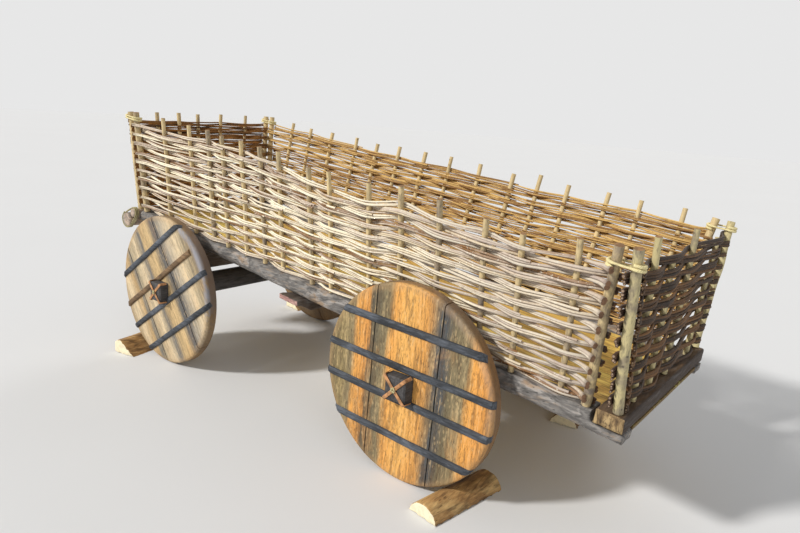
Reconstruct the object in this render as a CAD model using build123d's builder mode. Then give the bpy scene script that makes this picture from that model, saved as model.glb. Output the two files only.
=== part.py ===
from build123d import *
from math import atan2, cos, hypot, pi, radians, sin, sqrt, tan
import os

# A four-wheeled ox wagon with wicker sides, at full size, in millimetres.
# X runs along the wagon towards its rear, Y across it, Z up.
# The origin is on the ground, midway along the length and the width.

# Overall size and running gear
overall_length = 2866.5
wheel_radius = 375.0
wheel_thickness = 56.0
wheel_face = 553.0
rear_overhang = 756.0
rear_inset = 14.0
wheelbase = 1547.0

# Wheel discs and their battens
mortise_clearance = 0.5
plank_seam = 0.8
rim_chamfer = 13.0
inner_chamfer = 6.0
batten_width = 30.0
batten_seat = 9.0
batten_rise = 9.0
batten_dovetail = 3.0
batten_end_gap = 5.0
batten_offsets = (-208.0, -60.0, 66.0, 214.0)

# Axles
axle_radius = 55.0
axle_square = 92.0
axle_end_chamfer = 6.0
axle_proud = 45.0
shoulder_gap = 0.5
journal_gap = 0.5

# Leather straps crossed over the axle ends
strap_width = 13.0
strap_thickness = 2.5
knot_radius = 9.0
knot_height = 6.0

# Saddles that sit on the axles
saddle_length = 180.0
saddle_inner = 352.0
saddle_outer = 446.0
saddle_drop = 30.0

# Front bolster and middle underbeam
bolster_over_axle = 90.0
bolster_width = 120.0
bolster_half_span = 455.0
underbeam_from_rear = 1444.0
underbeam_width = 120.0
underbeam_depth = 50.0
underbeam_half_span = 490.0

# Bed: rails, crossbeam and floor
bed_slope = 5.28
bed_over_axle = 88.6
rail_line = 395.0
rail_depth = 75.0
rail_inner_half = 45.0
lap_depth = 38.0
lap_gap = 7.0
crossbeam_width = 98.0
crossbeam_height = 58.0
crossbeam_setback = 5.0
crossbeam_half_span = 442.0
crossbeam_chamfer = 4.0
floor_drop = 20.0
floor_thickness = 30.0
floor_gap = 1.5
floor_seams = (-68.0, 185.0)

# Front logs
crosspiece_radius = 25.0
crosspiece_drop = 20.0
crosspiece_from_end = 17.0
crosspiece_flat = 2.0
draw_log_radius = 40.0
draw_log_rise = 188.4
draw_log_chamfer = 5.0
front_log_half_span = 466.0

# Walls of upright stakes and woven rods
wall_line = 410.0
flare_rear = 13.5
flare_front = 6.0
stake_radius = 14.0
post_radius = 16.0
stake_height = 520.0
weave_rows = 20
row_pitch = 23.2
row_height = 22.2
rod_thickness = 9.0
weave_foot = 3.0
weave_end = 18.0
rear_wall_foot = 40.0
rear_wall_head = 62.0
near_front_lead = 30.0
far_front_lead = 73.0
rear_post_foot = 142.0
rear_post_head = 118.0
front_stake_back = 62.0
near_stake_lead = 35.0
far_stake_lead = 78.0
stake_sides = 8

# Ropes
corner_tie_height = 24.0
corner_tie_rope = 6.0
corner_tie_level = 490.0
lashing_width = 20.0
lashing_rope = 8.0
lashing_line = 452.0

# Wheel chocks on the ground: split logs behind the wagon, hewn wedges in front
split_log_radius = 67.0
split_log_height = 54.0
wedge_width = 143.0
wedge_height = 72.0
wedge_shoulder = 20.0
wedge_crown = 30.0
wedge_heel = 16.0
chock_half_span = 679.0

# Clearance between pieces that are seated on one another
seat_gap = 0.3

# Stakes of the side walls: share of the wall's length from its rear post, height of the head
near_stakes = (
    (0.0, 540.0), (0.0345, 528.0), (0.1064, 492.0), (0.159, 506.0), (0.2327, 524.0), (0.2987, 532.0),
    (0.3599, 510.0), (0.4435, 508.0), (0.4886, 502.0), (0.5612, 530.0), (0.6103, 526.0), (0.6605, 530.0),
    (0.717, 526.0), (0.76, 534.0), (0.8206, 532.0), (0.9101, 530.0), (1.0, 520.0),
)
far_stakes = (
    (0.0, 520.0), (0.0389, 532.0), (0.1087, 524.0), (0.1648, 526.0), (0.2386, 520.0), (0.2955, 536.0),
    (0.3493, 514.0), (0.4239, 524.0), (0.4929, 528.0), (0.5565, 522.0), (0.624, 520.0), (0.6845, 508.0),
    (0.7457, 516.0), (0.821, 512.0), (0.8901, 508.0), (0.951, 516.0), (1.0, 520.0),
)

# Stakes of the end walls: share of the half width from the middle, height of the head
rear_stakes = ((-1.0, 545.0), (-0.71, 562.0), (-0.36, 472.0), (0.05, 545.0), (0.69, 478.0), (1.0, 520.0))
front_stakes = (
    (-1.0, 516.0), (-0.67, 518.0), (-0.38, 520.0), (-0.11, 516.0), (0.24, 520.0), (0.64, 518.0), (1.0, 516.0),
)

# Sections of a side rail: distance from its rear end, outer half width,
# upper bevel and lower bevel of its outer edge
rail_sections = (
    (0.0, 45.0, 12.0, 12.0),
    (420.0, 46.0, 14.0, 20.0),
    (1230.0, 45.0, 18.0, 14.0),
    (1560.0, 49.0, 15.0, 20.0),
    (1830.0, 44.0, 20.0, 28.0),
    (2280.0, 42.0, 14.0, 38.0),
)

# Wheels: name, wheelset, side (-1 near, 1 far), turn in degrees, two seams from the centre
wheel_table = (
    ("rear_near", "rear", -1, -2.0, (-150.0, 143.0)),
    ("rear_far", "rear", 1, 0.0, (-135.0, 152.0)),
    ("front_near", "front", -1, 34.5, (-185.0, 118.0)),
    ("front_far", "front", 1, 34.5, (-140.0, 140.0)),
)

# Chocks: wheelset, side, gap to the wheel, inner end, swing of the inner end in degrees
chock_table = (
    ("rear", -1, 7.0, 318.0, 8.0),
    ("rear", 1, 7.0, 318.0, 8.0),
    ("front", -1, 16.0, 330.0, 12.0),
    ("front", 1, 26.0, 530.0, 8.0),
)

# Places worked out from the sizes above
rail_top_at_rear = wheel_radius + bed_over_axle
draw_log_height = rail_top_at_rear + draw_log_rise
rear_end_x = overall_length / 2 - rear_inset
rear_axle_x = rear_end_x - rear_overhang
axle_x = {"rear": rear_axle_x, "front": rear_axle_x - wheelbase}
slope_cos = cos(radians(bed_slope))
slope_sin = sin(radians(bed_slope))
slope_tan = tan(radians(bed_slope))
wheel_inner = wheel_face - wheel_thickness
rail_inner_face = rail_line - rail_inner_half
draw_log_x = -overall_length / 2 + lashing_rope + seat_gap + draw_log_radius
draw_log_along = (rear_end_x - draw_log_x) * slope_cos + (draw_log_height - rail_top_at_rear) * slope_sin
rail_length = draw_log_along - draw_log_radius - seat_gap
crosspiece_along = rail_length - crosspiece_from_end
crosspiece_top = crosspiece_radius - crosspiece_drop - crosspiece_flat
crossbeam_top = crossbeam_height - lap_depth
cog_height = rail_depth - floor_drop - floor_thickness
bolster_bottom = wheel_radius + bolster_over_axle

os.makedirs("parts", exist_ok=True)


def bed_plane(along, across, height):
    """Plane on the sloping bed: along from the rear end, height above the rails' top."""
    x = rear_end_x - along * slope_cos + height * slope_sin
    z = rail_top_at_rear + along * slope_sin + height * slope_cos
    return Plane(origin=(x, across, z), x_dir=(slope_cos, 0, -slope_sin), z_dir=(slope_sin, 0, slope_cos))


def bed_point(along, across, height):
    """Point on the sloping bed."""
    return bed_plane(along, across, height).origin


def rail_level(x, height):
    """Z of the plane that lies this far above the rails' top, at x."""
    return rail_top_at_rear + height / slope_cos + (rear_end_x - x) * slope_tan


def save(name, piece):
    """Label a piece and write it to its file."""
    piece.label = name
    export_step(piece, f"parts/{name}.step")


crosspiece_axis = bed_point(crosspiece_along, 0, -crosspiece_drop)


# Side rails

def side_rail(side):
    """A hewn log: flat on top and below, bevelled along its outer edges, lapped at both ends."""
    stations = rail_sections + ((rail_length,) + rail_sections[-1][1:],)
    with BuildPart() as rail:
        for along, outer_half, upper_bevel, lower_bevel in stations:
            place = bed_plane(along, side * rail_line, 0)
            with BuildSketch(Plane(origin=place.origin, x_dir=(0, side, 0), z_dir=place.x_dir * side)):
                Polygon(
                    (-rail_inner_half, 0),
                    (-rail_inner_half, -rail_depth),
                    (outer_half - lower_bevel, -rail_depth),
                    (outer_half, -rail_depth + lower_bevel),
                    (outer_half, -upper_bevel),
                    (outer_half - upper_bevel, 0),
                    align=None,
                )
        loft(ruled=True)
        rear_lap = crossbeam_setback + crossbeam_width + lap_gap
        with BuildSketch(bed_plane(rear_lap / 2 - 1, side * rail_line, -lap_depth)):
            Rectangle(rear_lap + 2, 3 * rail_depth)
        extrude(amount=rail_depth, mode=Mode.SUBTRACT)
        front_lap = crosspiece_from_end + crosspiece_radius + seat_gap
        with BuildSketch(bed_plane(rail_length - front_lap / 2 + 1, side * rail_line, 0)):
            Rectangle(front_lap + 2, 3 * rail_depth)
        extrude(amount=-crosspiece_radius - crosspiece_drop, mode=Mode.SUBTRACT)
    return rail.part


save("near_side_rail", side_rail(-1))
save("far_side_rail", side_rail(1))


# Rear crossbeam, lapped on the rails

with BuildPart() as rear_crossbeam:
    with BuildSketch(bed_plane(crossbeam_setback + crossbeam_width / 2, 0, -lap_depth)):
        Rectangle(crossbeam_width, 2 * crossbeam_half_span)
    extrude(amount=crossbeam_height)
    upper_face = rear_crossbeam.faces().sort_by(Axis.Z)[-1]
    chamfer(upper_face.edges().filter_by(Axis.Y), crossbeam_chamfer)
save("rear_crossbeam", rear_crossbeam.part)


# Front logs, round poles across the rails

with BuildPart() as front_crosspiece:
    with BuildSketch(Plane.XZ):
        with Locations((crosspiece_axis.X, crosspiece_axis.Z)):
            Circle(crosspiece_radius)
    extrude(amount=front_log_half_span, both=True)
    split(bisect_by=bed_plane(crosspiece_along, 0, crosspiece_top), keep=Keep.BOTTOM)
save("front_crosspiece", front_crosspiece.part)

with BuildPart() as front_draw_log:
    with BuildSketch(Plane.XZ):
        with Locations((draw_log_x, draw_log_height)):
            Circle(draw_log_radius)
    extrude(amount=front_log_half_span, both=True)
    chamfer(front_draw_log.faces().filter_by(Axis.Y).edges(), draw_log_chamfer)
save("front_draw_log", front_draw_log.part)


# Cross members below the rails, with a cog that stands up between them to carry the floor

def cross_member(rear_x, front_x, rear_low, front_low, half_span):
    """A timber across the wagon; its top follows the rails' underside and rises between them."""
    with BuildPart() as member:
        for height, span in ((-rail_depth, half_span), (-rail_depth + cog_height, rail_inner_face - floor_gap)):
            with BuildSketch(Plane.XZ):
                Polygon(
                    (rear_x, rear_low),
                    (rear_x, rail_level(rear_x, height)),
                    (front_x, rail_level(front_x, height)),
                    (front_x, front_low),
                    align=None,
                )
            extrude(amount=span, both=True)
    return member.part


bolster_rear_x = axle_x["front"] + bolster_width / 2
bolster_front_x = axle_x["front"] - bolster_width / 2
save("front_bolster", cross_member(
    bolster_rear_x, bolster_front_x, bolster_bottom, bolster_bottom, bolster_half_span))

underbeam_rear_x = bed_point(underbeam_from_rear - underbeam_width / 2, 0, -rail_depth).X
underbeam_front_x = bed_point(underbeam_from_rear + underbeam_width / 2, 0, -rail_depth).X
underbeam_low = -rail_depth - underbeam_depth
save("middle_underbeam", cross_member(
    underbeam_rear_x, underbeam_front_x, rail_level(underbeam_rear_x, underbeam_low),
    rail_level(underbeam_front_x, underbeam_low), underbeam_half_span))


# Saddles, each with a deep notch that sits astride the axle

def saddle_pair(centre_x, rear_top, front_top):
    """Two bearing blocks over one axle, one under each rail."""
    low = wheel_radius - saddle_drop
    half = saddle_length / 2
    notch = axle_radius + journal_gap
    middle = (saddle_inner + saddle_outer) / 2
    with BuildPart() as saddles:
        for side in (-1, 1):
            with BuildSketch(Plane.XZ.offset(-side * middle)):
                Polygon(
                    (centre_x - half, low),
                    (centre_x - half, front_top),
                    (centre_x + half, rear_top),
                    (centre_x + half, low),
                    align=None,
                )
                with Locations((centre_x, wheel_radius)):
                    Circle(notch, mode=Mode.SUBTRACT)
                with Locations((centre_x, wheel_radius - saddle_drop)):
                    Rectangle(2 * notch, 2 * saddle_drop, mode=Mode.SUBTRACT)
            extrude(amount=(saddle_outer - saddle_inner) / 2, both=True)
    return saddles.part


save("rear_saddles", saddle_pair(
    rear_axle_x,
    rail_level(rear_axle_x + saddle_length / 2, -rail_depth),
    rail_level(rear_axle_x - saddle_length / 2, -rail_depth)))
save("front_saddles", saddle_pair(axle_x["front"], bolster_bottom, bolster_bottom))


# Floor planks, laid along the wagon between the rails, with a tongue under the crossbeam

floor_edges = (-rail_inner_face, *floor_seams, rail_inner_face)
floor_front = crosspiece_along - crosspiece_radius - floor_gap
for number, (low_edge, high_edge) in enumerate(zip(floor_edges, floor_edges[1:]), start=1):
    with BuildPart() as floor_plank:
        middle = (low_edge + high_edge) / 2
        with BuildSketch(bed_plane((crossbeam_setback + floor_front) / 2, middle, -floor_drop)):
            Rectangle(floor_front - crossbeam_setback, high_edge - low_edge - 2 * floor_gap)
        extrude(amount=-floor_thickness)
        tongue = crossbeam_width + floor_gap
        with BuildSketch(bed_plane(crossbeam_setback + tongue / 2 - 1, middle, -lap_depth)):
            Rectangle(tongue + 2, high_edge - low_edge)
        extrude(amount=floor_thickness, mode=Mode.SUBTRACT)
    save(f"floor_plank_{number}", floor_plank.part)


# Woven walls: each stake is a line from its foot to its head, in bed distances

def flare_at(along):
    """Outward lean of a side wall, in degrees, at this distance from the rear end."""
    return flare_rear + (flare_front - flare_rear) * along / rail_length


def side_stakes(table, front_lead):
    """Axis of each stake of a side wall, at its foot and at stake_height, for the far side."""
    front_foot = crosspiece_along - front_stake_back
    stakes = []
    for share, _ in table:
        foot = rear_post_foot + share * (front_foot - rear_post_foot)
        head = foot
        if share == 0.0:
            head = rear_post_head
        if share == 1.0:
            head = foot + front_lead
        out = stake_height * tan(radians(flare_at(foot)))
        stakes.append(((foot, wall_line), (head, wall_line + out)))
    return stakes


def end_stakes(table, foot, near_head, far_head):
    """Axis of each stake of an end wall, which may lean more at one side than at the other."""
    out = stake_height * tan(radians(flare_at(foot)))
    stakes = []
    for share, _ in table:
        head = near_head + (far_head - near_head) * (share + 1) / 2
        stakes.append(((foot, share * wall_line), (head, share * (wall_line + out))))
    return stakes


def mirrored(stakes):
    """The same stakes on the near side."""
    return [((foot[0], -foot[1]), (head[0], -head[1])) for foot, head in stakes]


def stake_place(stake, height):
    """Where a stake's axis stands at this height above the rails' top."""
    foot, head = stake
    share = height / stake_height
    return (foot[0] + share * (head[0] - foot[0]), foot[1] + share * (head[1] - foot[1]))


def wall_stakes(stakes, table, radii, foot_height):
    """The upright stakes of a wall, cut level where they stand: round posts, the rest cut in flats."""
    with BuildPart() as wall:
        for number, (stake, (_, head_height), radius) in enumerate(zip(stakes, table, radii)):
            foot = bed_point(*stake_place(stake, foot_height), foot_height)
            head = bed_point(*stake_place(stake, head_height), head_height)
            lean = (head - foot).normalized()
            with BuildSketch(Plane(origin=foot - lean * radius, z_dir=lean)):
                if number in (0, len(stakes) - 1):
                    Circle(radius)
                else:
                    RegularPolygon(radius, stake_sides)
            extrude(amount=(head - foot).length + radius)
        split(bisect_by=bed_plane(0, 0, foot_height), keep=Keep.TOP)
    return wall.part


def stake_slant(stake):
    """How far a stake leans for each millimetre of its height."""
    foot, head = stake
    return hypot(head[0] - foot[0], head[1] - foot[1]) / stake_height


def weave_swings(stakes, radii):
    """How far the middle of a rod bundle passes beside each stake's axis."""
    feet = [foot for foot, head in stakes]
    gaps = [hypot(b[0] - a[0], b[1] - a[1]) for a, b in zip(feet, feet[1:])]
    swings = []
    for stake, radius, before, after in zip(stakes, radii, gaps[:1] + gaps, gaps + gaps[-1:]):
        reach = radius + seat_gap + rod_thickness / 2 + stake_slant(stake) * row_height / 2
        closest = min(before, after)
        swings.append(reach * hypot(closest, 2 * reach) / closest)
    return swings[:1] + swings + swings[-1:]


def wall_weave(stakes, radii, foot_height, first_side):
    """Rows of rod bundles woven round the stakes, each row the other way from the one below."""
    rows = int((weave_rows * row_pitch - foot_height) / row_pitch)
    swings = weave_swings(stakes, radii)
    half = rod_thickness / 2
    with BuildPart() as weave:
        for row in range(rows):
            low = foot_height + weave_foot + row * row_pitch
            places = [stake_place(stake, low + row_height / 2) for stake in stakes]
            (ax, ay), (bx, by) = places[0], places[-1]
            span = hypot(bx - ax, by - ay)
            way = ((bx - ax) / span, (by - ay) / span)
            out = (-way[1], way[0])
            turn = first_side * (-1) ** row
            line = [(ax - way[0] * weave_end, ay - way[1] * weave_end)] + places
            line.append((bx + way[0] * weave_end, by + way[1] * weave_end))
            signs = [turn] + [turn * (-1) ** number for number in range(len(places))]
            signs.append(signs[-1])
            edge = []
            for shift in (half, -half):
                run = []
                for place, sign, swing in zip(line, signs, swings):
                    aside = sign * swing + shift
                    run.append((-place[0] - out[0] * aside, place[1] + out[1] * aside))
                edge += run if shift > 0 else run[::-1]
            with BuildSketch(bed_plane(0, 0, low)):
                Polygon(*edge, align=None)
            extrude(amount=row_height)
    return weave.part


far_side = side_stakes(far_stakes, far_stake_lead)
near_side = mirrored(side_stakes(near_stakes, near_stake_lead))
rear_end = end_stakes(rear_stakes, rear_wall_foot, rear_wall_head, rear_wall_head)
front_end = end_stakes(
    front_stakes, crosspiece_along, crosspiece_along + near_front_lead, crosspiece_along + far_front_lead)
wall_table = (
    ("near", near_side, near_stakes, 0.0, 1),
    ("far", far_side, far_stakes, 0.0, -1),
    ("rear", rear_end, rear_stakes, crossbeam_top, 1),
    ("front", front_end, front_stakes, crosspiece_top, -1),
)
for name, stakes, table, foot_height, first_side in wall_table:
    radii = [post_radius] + [stake_radius] * (len(stakes) - 2) + [post_radius]
    save(f"{name}_wall_stakes", wall_stakes(stakes, table, radii, foot_height))
    save(f"{name}_wall_weave", wall_weave(stakes, radii, foot_height, first_side))


# Axles: round between the wheels, squared where they pass through the discs

shoulder = wheel_inner - shoulder_gap
for wheelset in ("rear", "front"):
    with BuildPart() as axle:
        with BuildSketch(Plane.XZ):
            with Locations((axle_x[wheelset], wheel_radius)):
                Circle(axle_radius)
        extrude(amount=shoulder, both=True)
        for side in (-1, 1):
            with BuildSketch(Plane.XZ.offset(-side * shoulder)):
                with Locations((axle_x[wheelset], wheel_radius)):
                    Rectangle(axle_square, axle_square)
            extrude(amount=-side * (wheel_face + axle_proud - shoulder))
        end_faces = axle.faces().filter_by(Axis.Y).sort_by(Axis.Y)
        chamfer(end_faces[0].edges() + end_faces[-1].edges(), axle_end_chamfer)
    save(f"{wheelset}_axle", axle.part)


# Wheels: three planks held by four dovetailed battens

def wheel_plane(wheelset, side, turn, distance):
    """Plane across the axle at this distance from the middle, facing outwards."""
    tip = radians(turn)
    return Plane(
        origin=(axle_x[wheelset], side * distance, wheel_radius),
        x_dir=(cos(tip), 0, sin(tip)),
        z_dir=(0, side, 0),
    )


def batten_profile(room, high):
    """Cross-section of a batten, or of its groove when high is 0: a dovetail foot and a ridged back."""
    half_neck = batten_width / 2 + room
    half_foot = half_neck + batten_dovetail
    flank = high * 0.45
    with BuildSketch(mode=Mode.PRIVATE) as profile:
        Polygon(
            (-half_foot, -batten_seat - room),
            (half_foot, -batten_seat - room),
            (half_neck, 0),
            (half_neck, flank + room),
            (-half_neck, flank + room),
            (-half_neck, 0),
            align=None,
        )
        if high > 0:
            with BuildLine():
                ThreePointArc((half_neck, flank), (0, high), (-half_neck, flank))
                Line((-half_neck, flank), (half_neck, flank))
            make_face()
    return profile.sketch


groove_profile = batten_profile(seat_gap, 0)
ridge_profile = batten_profile(0, batten_rise)


def batten_plane(wheelset, side, turn, offset):
    """Plane across a batten at the wheel's middle line, with Y pointing out of the face."""
    face = wheel_plane(wheelset, side, turn, wheel_face)
    return Plane(origin=face.from_local_coords((0, offset, 0)), x_dir=face.y_dir, z_dir=face.x_dir)


def wheel_disc(wheelset, side, turn, seams):
    """A disc of three planks, with a square hole for the axle and grooves for the battens."""
    mortise = axle_square + 2 * mortise_clearance
    inner_plane = wheel_plane(wheelset, side, turn, wheel_inner)
    with BuildPart() as disc:
        with BuildSketch(inner_plane):
            Circle(wheel_radius)
        extrude(amount=wheel_thickness)
        faces = disc.faces().filter_by(Axis.Y).sort_by(Axis.Y)
        back_face, outer_face = (faces[0], faces[-1]) if side > 0 else (faces[-1], faces[0])
        chamfer(outer_face.edges(), rim_chamfer)
        chamfer(back_face.edges(), inner_chamfer)
        with BuildSketch(wheel_plane(wheelset, side, 0, wheel_inner)):
            Rectangle(mortise, mortise)
        extrude(amount=wheel_thickness, mode=Mode.SUBTRACT)
        for offset in batten_offsets:
            with BuildSketch(batten_plane(wheelset, side, turn, offset)):
                add(groove_profile)
            extrude(amount=wheel_radius, both=True, mode=Mode.SUBTRACT)
        with BuildSketch(inner_plane):
            with Locations(*[(seam, 0) for seam in seams]):
                Rectangle(plank_seam, 2 * wheel_radius)
        extrude(amount=wheel_thickness, mode=Mode.SUBTRACT)
    return disc.part


def wheel_battens(wheelset, side, turn):
    """Four battens across the planks, with their ends trimmed to the rim."""
    with BuildPart() as battens:
        for offset in batten_offsets:
            with BuildSketch(batten_plane(wheelset, side, turn, offset)):
                add(ridge_profile)
            extrude(amount=wheel_radius, both=True)
        with BuildSketch(wheel_plane(wheelset, side, turn, wheel_inner)):
            Circle(wheel_radius - batten_end_gap)
        extrude(amount=wheel_thickness + 2 * batten_rise, mode=Mode.INTERSECT)
        with BuildSketch(wheel_plane(wheelset, side, 0, wheel_inner)):
            Rectangle(axle_square + 2 * mortise_clearance, axle_square + 2 * mortise_clearance)
        extrude(amount=wheel_thickness + 2 * batten_rise, mode=Mode.SUBTRACT)
    return battens.part


def axle_end_straps(wheelset, side):
    """Two straps crossed from corner to corner over the axle end, knotted in the middle."""
    inner = axle_square / sqrt(2) + seat_gap
    outer = inner + strap_thickness
    low = batten_rise + seat_gap
    under = axle_proud + seat_gap
    over = under + strap_thickness
    with BuildPart() as straps:
        for turn in (45, 135):
            face = wheel_plane(wheelset, side, turn, wheel_face)
            with BuildSketch(Plane(origin=face.origin, x_dir=face.x_dir, z_dir=-face.y_dir)):
                Polygon(
                    (-outer, low),
                    (-outer, over),
                    (outer, over),
                    (outer, low),
                    (inner, low),
                    (inner, under),
                    (-inner, under),
                    (-inner, low),
                    align=None,
                )
            extrude(amount=strap_width / 2, both=True)
        with BuildSketch(wheel_plane(wheelset, side, 0, wheel_face + under)):
            RegularPolygon(knot_radius, 8)
        extrude(amount=strap_thickness + knot_height, taper=20)
    return straps.part


for name, wheelset, side, turn, seams in wheel_table:
    save(f"{name}_wheel", wheel_disc(wheelset, side, turn, seams))
    save(f"{name}_battens", wheel_battens(wheelset, side, turn))
    save(f"{name}_straps", axle_end_straps(wheelset, side))


# Ropes: a loop round the two posts of each corner, and one round the front logs at each side

def rope_loop(first, second, rope, gap):
    """Face of a rope band round two circles, each given as centre and radius."""
    (ax, ay, ar), (bx, by, br) = first, second
    span = hypot(bx - ax, by - ay)
    turn = atan2(by - ay, bx - ax)
    rise = (ar - br) / span
    with BuildSketch(mode=Mode.PRIVATE) as loop:
        for reach, mode in ((gap + rope, Mode.ADD), (gap, Mode.SUBTRACT)):
            corners = []
            for cx, cy, cr, way in ((ax, ay, ar, 1), (ax, ay, ar, -1), (bx, by, br, -1), (bx, by, br, 1)):
                tangent = turn + way * (pi / 2 - rise)
                corners.append((cx + (cr + reach) * cos(tangent), cy + (cr + reach) * sin(tangent)))
            with Locations((ax, ay)):
                Circle(ar + reach, mode=mode)
            with Locations((bx, by)):
                Circle(br + reach, mode=mode)
            Polygon(*corners, align=None, mode=mode)
    return loop.sketch


corner_table = (
    (near_side[0], rear_end[0]),
    (far_side[0], rear_end[-1]),
    (near_side[-1], front_end[0]),
    (far_side[-1], front_end[-1]),
)
with BuildPart() as corner_ties:
    for side_stake, end_stake in corner_table:
        side_x, side_y = stake_place(side_stake, corner_tie_level)
        end_x, end_y = stake_place(end_stake, corner_tie_level)
        slant = max(stake_slant(side_stake), stake_slant(end_stake))
        room = seat_gap + slant * (corner_tie_height + slant * post_radius) / 2
        loop = rope_loop((-side_x, side_y, post_radius), (-end_x, end_y, post_radius),
                         corner_tie_rope, room)
        with BuildSketch(bed_plane(0, 0, corner_tie_level - corner_tie_height / 2)):
            add(loop)
        extrude(amount=corner_tie_height)
save("corner_ties", corner_ties.part)

crosspiece_circle = (crosspiece_axis.X, crosspiece_axis.Z, crosspiece_radius)
draw_log_circle = (draw_log_x, draw_log_height, draw_log_radius)
lashing_profile = rope_loop(draw_log_circle, crosspiece_circle, lashing_rope, seat_gap)
with BuildPart() as front_lashings:
    for side in (-1, 1):
        with BuildSketch(Plane.XZ.offset(-side * lashing_line)):
            add(lashing_profile)
        extrude(amount=lashing_width / 2, both=True)
save("front_lashings", front_lashings.part)


# Wheel chocks that keep the parked wagon from rolling

def split_log(gap):
    """Section of a split log and how far its middle lies from the axle, to clear the wheel by the gap."""
    sunk = split_log_radius - split_log_height
    reach = sqrt((wheel_radius + split_log_radius + gap) ** 2 - (wheel_radius + sunk) ** 2)
    with BuildSketch(mode=Mode.PRIVATE) as section:
        with Locations((0, -sunk)):
            Circle(split_log_radius)
        with Locations((0, -split_log_radius)):
            Rectangle(4 * split_log_radius, 2 * split_log_radius, mode=Mode.SUBTRACT)
    return section.sketch, reach


def hewn_wedge(gap):
    """Section of a wedge with its toe towards the wheel, which is on its right, and the same distance."""
    half = wedge_width / 2
    slope_run = half + wedge_shoulder
    slope_length = hypot(slope_run, wedge_height)
    toe = ((wheel_radius + gap) * slope_length - wheel_radius * slope_run) / wedge_height
    with BuildSketch(mode=Mode.PRIVATE) as section:
        Polygon(
            (half, 0),
            (-wedge_shoulder, wedge_height),
            (-wedge_shoulder - wedge_crown, wedge_height),
            (-half, wedge_height - wedge_heel),
            (-half, 0),
            align=None,
        )
    return section.sketch, toe + half


chock_forms = {"rear": (split_log, 1, split_log_radius), "front": (hewn_wedge, -1, wedge_width / 2)}
with BuildPart() as wheel_chocks:
    for wheelset, side, gap, inner_end, swing in chock_table:
        make_section, way, half_width = chock_forms[wheelset]
        section, reach = make_section(gap)
        tip = way * side * radians(swing)
        outer_end = chock_half_span - half_width * sin(radians(swing))
        middle = (inner_end + outer_end) / 2
        x = axle_x[wheelset] + way * (reach + (wheel_face - middle) * tan(radians(swing)))
        place = Plane(
            origin=(x, side * middle, 0), x_dir=(cos(tip), sin(tip), 0), z_dir=(sin(tip), -cos(tip), 0))
        with BuildSketch(place):
            add(section)
        extrude(amount=(outer_end - inner_end) / 2 / cos(radians(swing)), both=True)
save("wheel_chocks", wheel_chocks.part)
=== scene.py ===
"""Looks of a four-wheeled ox wagon with wicker sides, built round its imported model."""

import math
import random
from contextlib import contextmanager

import bpy
import numpy as np
from bpy.props import FloatProperty, FloatVectorProperty, IntProperty, PointerProperty
from mathutils import Matrix, Vector, noise


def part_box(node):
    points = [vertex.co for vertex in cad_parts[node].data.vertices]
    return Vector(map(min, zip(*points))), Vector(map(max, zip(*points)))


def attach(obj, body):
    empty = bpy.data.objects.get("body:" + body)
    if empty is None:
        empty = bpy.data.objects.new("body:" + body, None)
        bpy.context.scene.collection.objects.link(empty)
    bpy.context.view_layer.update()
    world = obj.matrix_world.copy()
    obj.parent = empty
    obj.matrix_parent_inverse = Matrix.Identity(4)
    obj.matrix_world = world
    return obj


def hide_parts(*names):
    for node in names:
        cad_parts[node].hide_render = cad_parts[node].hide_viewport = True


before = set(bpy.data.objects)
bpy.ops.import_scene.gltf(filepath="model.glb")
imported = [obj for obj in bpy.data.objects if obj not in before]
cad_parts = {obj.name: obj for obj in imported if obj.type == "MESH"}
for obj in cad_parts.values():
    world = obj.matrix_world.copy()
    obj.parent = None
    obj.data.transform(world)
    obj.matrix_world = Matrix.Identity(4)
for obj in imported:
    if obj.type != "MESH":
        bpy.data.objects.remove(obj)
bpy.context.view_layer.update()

bl_info = {
    "name": "Wicker ox wagon",
    "version": (1, 0, 0),
    "blender": (4, 5, 0),
    "location": "View3D > Sidebar > Wagon",
    "description": "Builds a four-wheeled ox wagon with wicker sides",
    "category": "Add Mesh",
}

# Places and sizes that the model fixes, in metres
WHEEL_RADIUS = 0.375
WHEEL_THICKNESS = 0.056
WHEEL_FACE = 0.553
AXLE_PLACES = {"rear": 0.66325, "front": -0.88375}
AXLE_HALF = 0.046
AXLE_PROUD = 0.045
BATTEN_OFFSETS = (-0.208, -0.060, 0.066, 0.214)
BED_SLOPE = math.radians(5.28)
RAIL_TOP_AT_REAR = 0.4636
REAR_END = 1.41925
POST_RADIUS = 0.016
DRAW_LOG = (-1.38495, 0.652, 0.040)
LASHING_LINE = 0.452
TIE_LEVEL = 0.490

# Directions of the sloping bed: towards the front, across, and up from the floor
ALONG = Vector((-math.cos(BED_SLOPE), 0, math.sin(BED_SLOPE)))
ACROSS = Vector((0, 1, 0))
UPWARD = Vector((math.sin(BED_SLOPE), 0, math.cos(BED_SLOPE)))
BED_ORIGIN = Vector((REAR_END, 0, RAIL_TOP_AT_REAR))

# The photo's camera
CAMERA_PLACE = (1.943, -2.2346, 1.323)
CAMERA_RIGHT = Vector((0.773891, 0.629988, 0.064867))
CAMERA_DOWN = Vector((0.197577, -0.142849, -0.969823))
CAMERA_FORWARD = Vector((-0.601711, 0.763354, -0.235021))
CAMERA_LENS = 28.742

# The studio: lamps as where they shine from, strength, spread in degrees and colour, and the
# strength of the background as a light and as it is seen
LAMPS = {
    "key": ((-0.43, -0.82, 0.66), 2.85, 6, (1.0, 0.975, 0.94)),
    "fill": ((0.8, -0.45, 0.5), 0.30, 30, (0.95, 0.97, 1.0)),
    "back": ((-0.3, 0.9, 0.7), 0.45, 20, (1.0, 0.98, 0.95)),
}
SKY_LIGHT = 0.37
SKY_SEEN = 0.80


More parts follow.
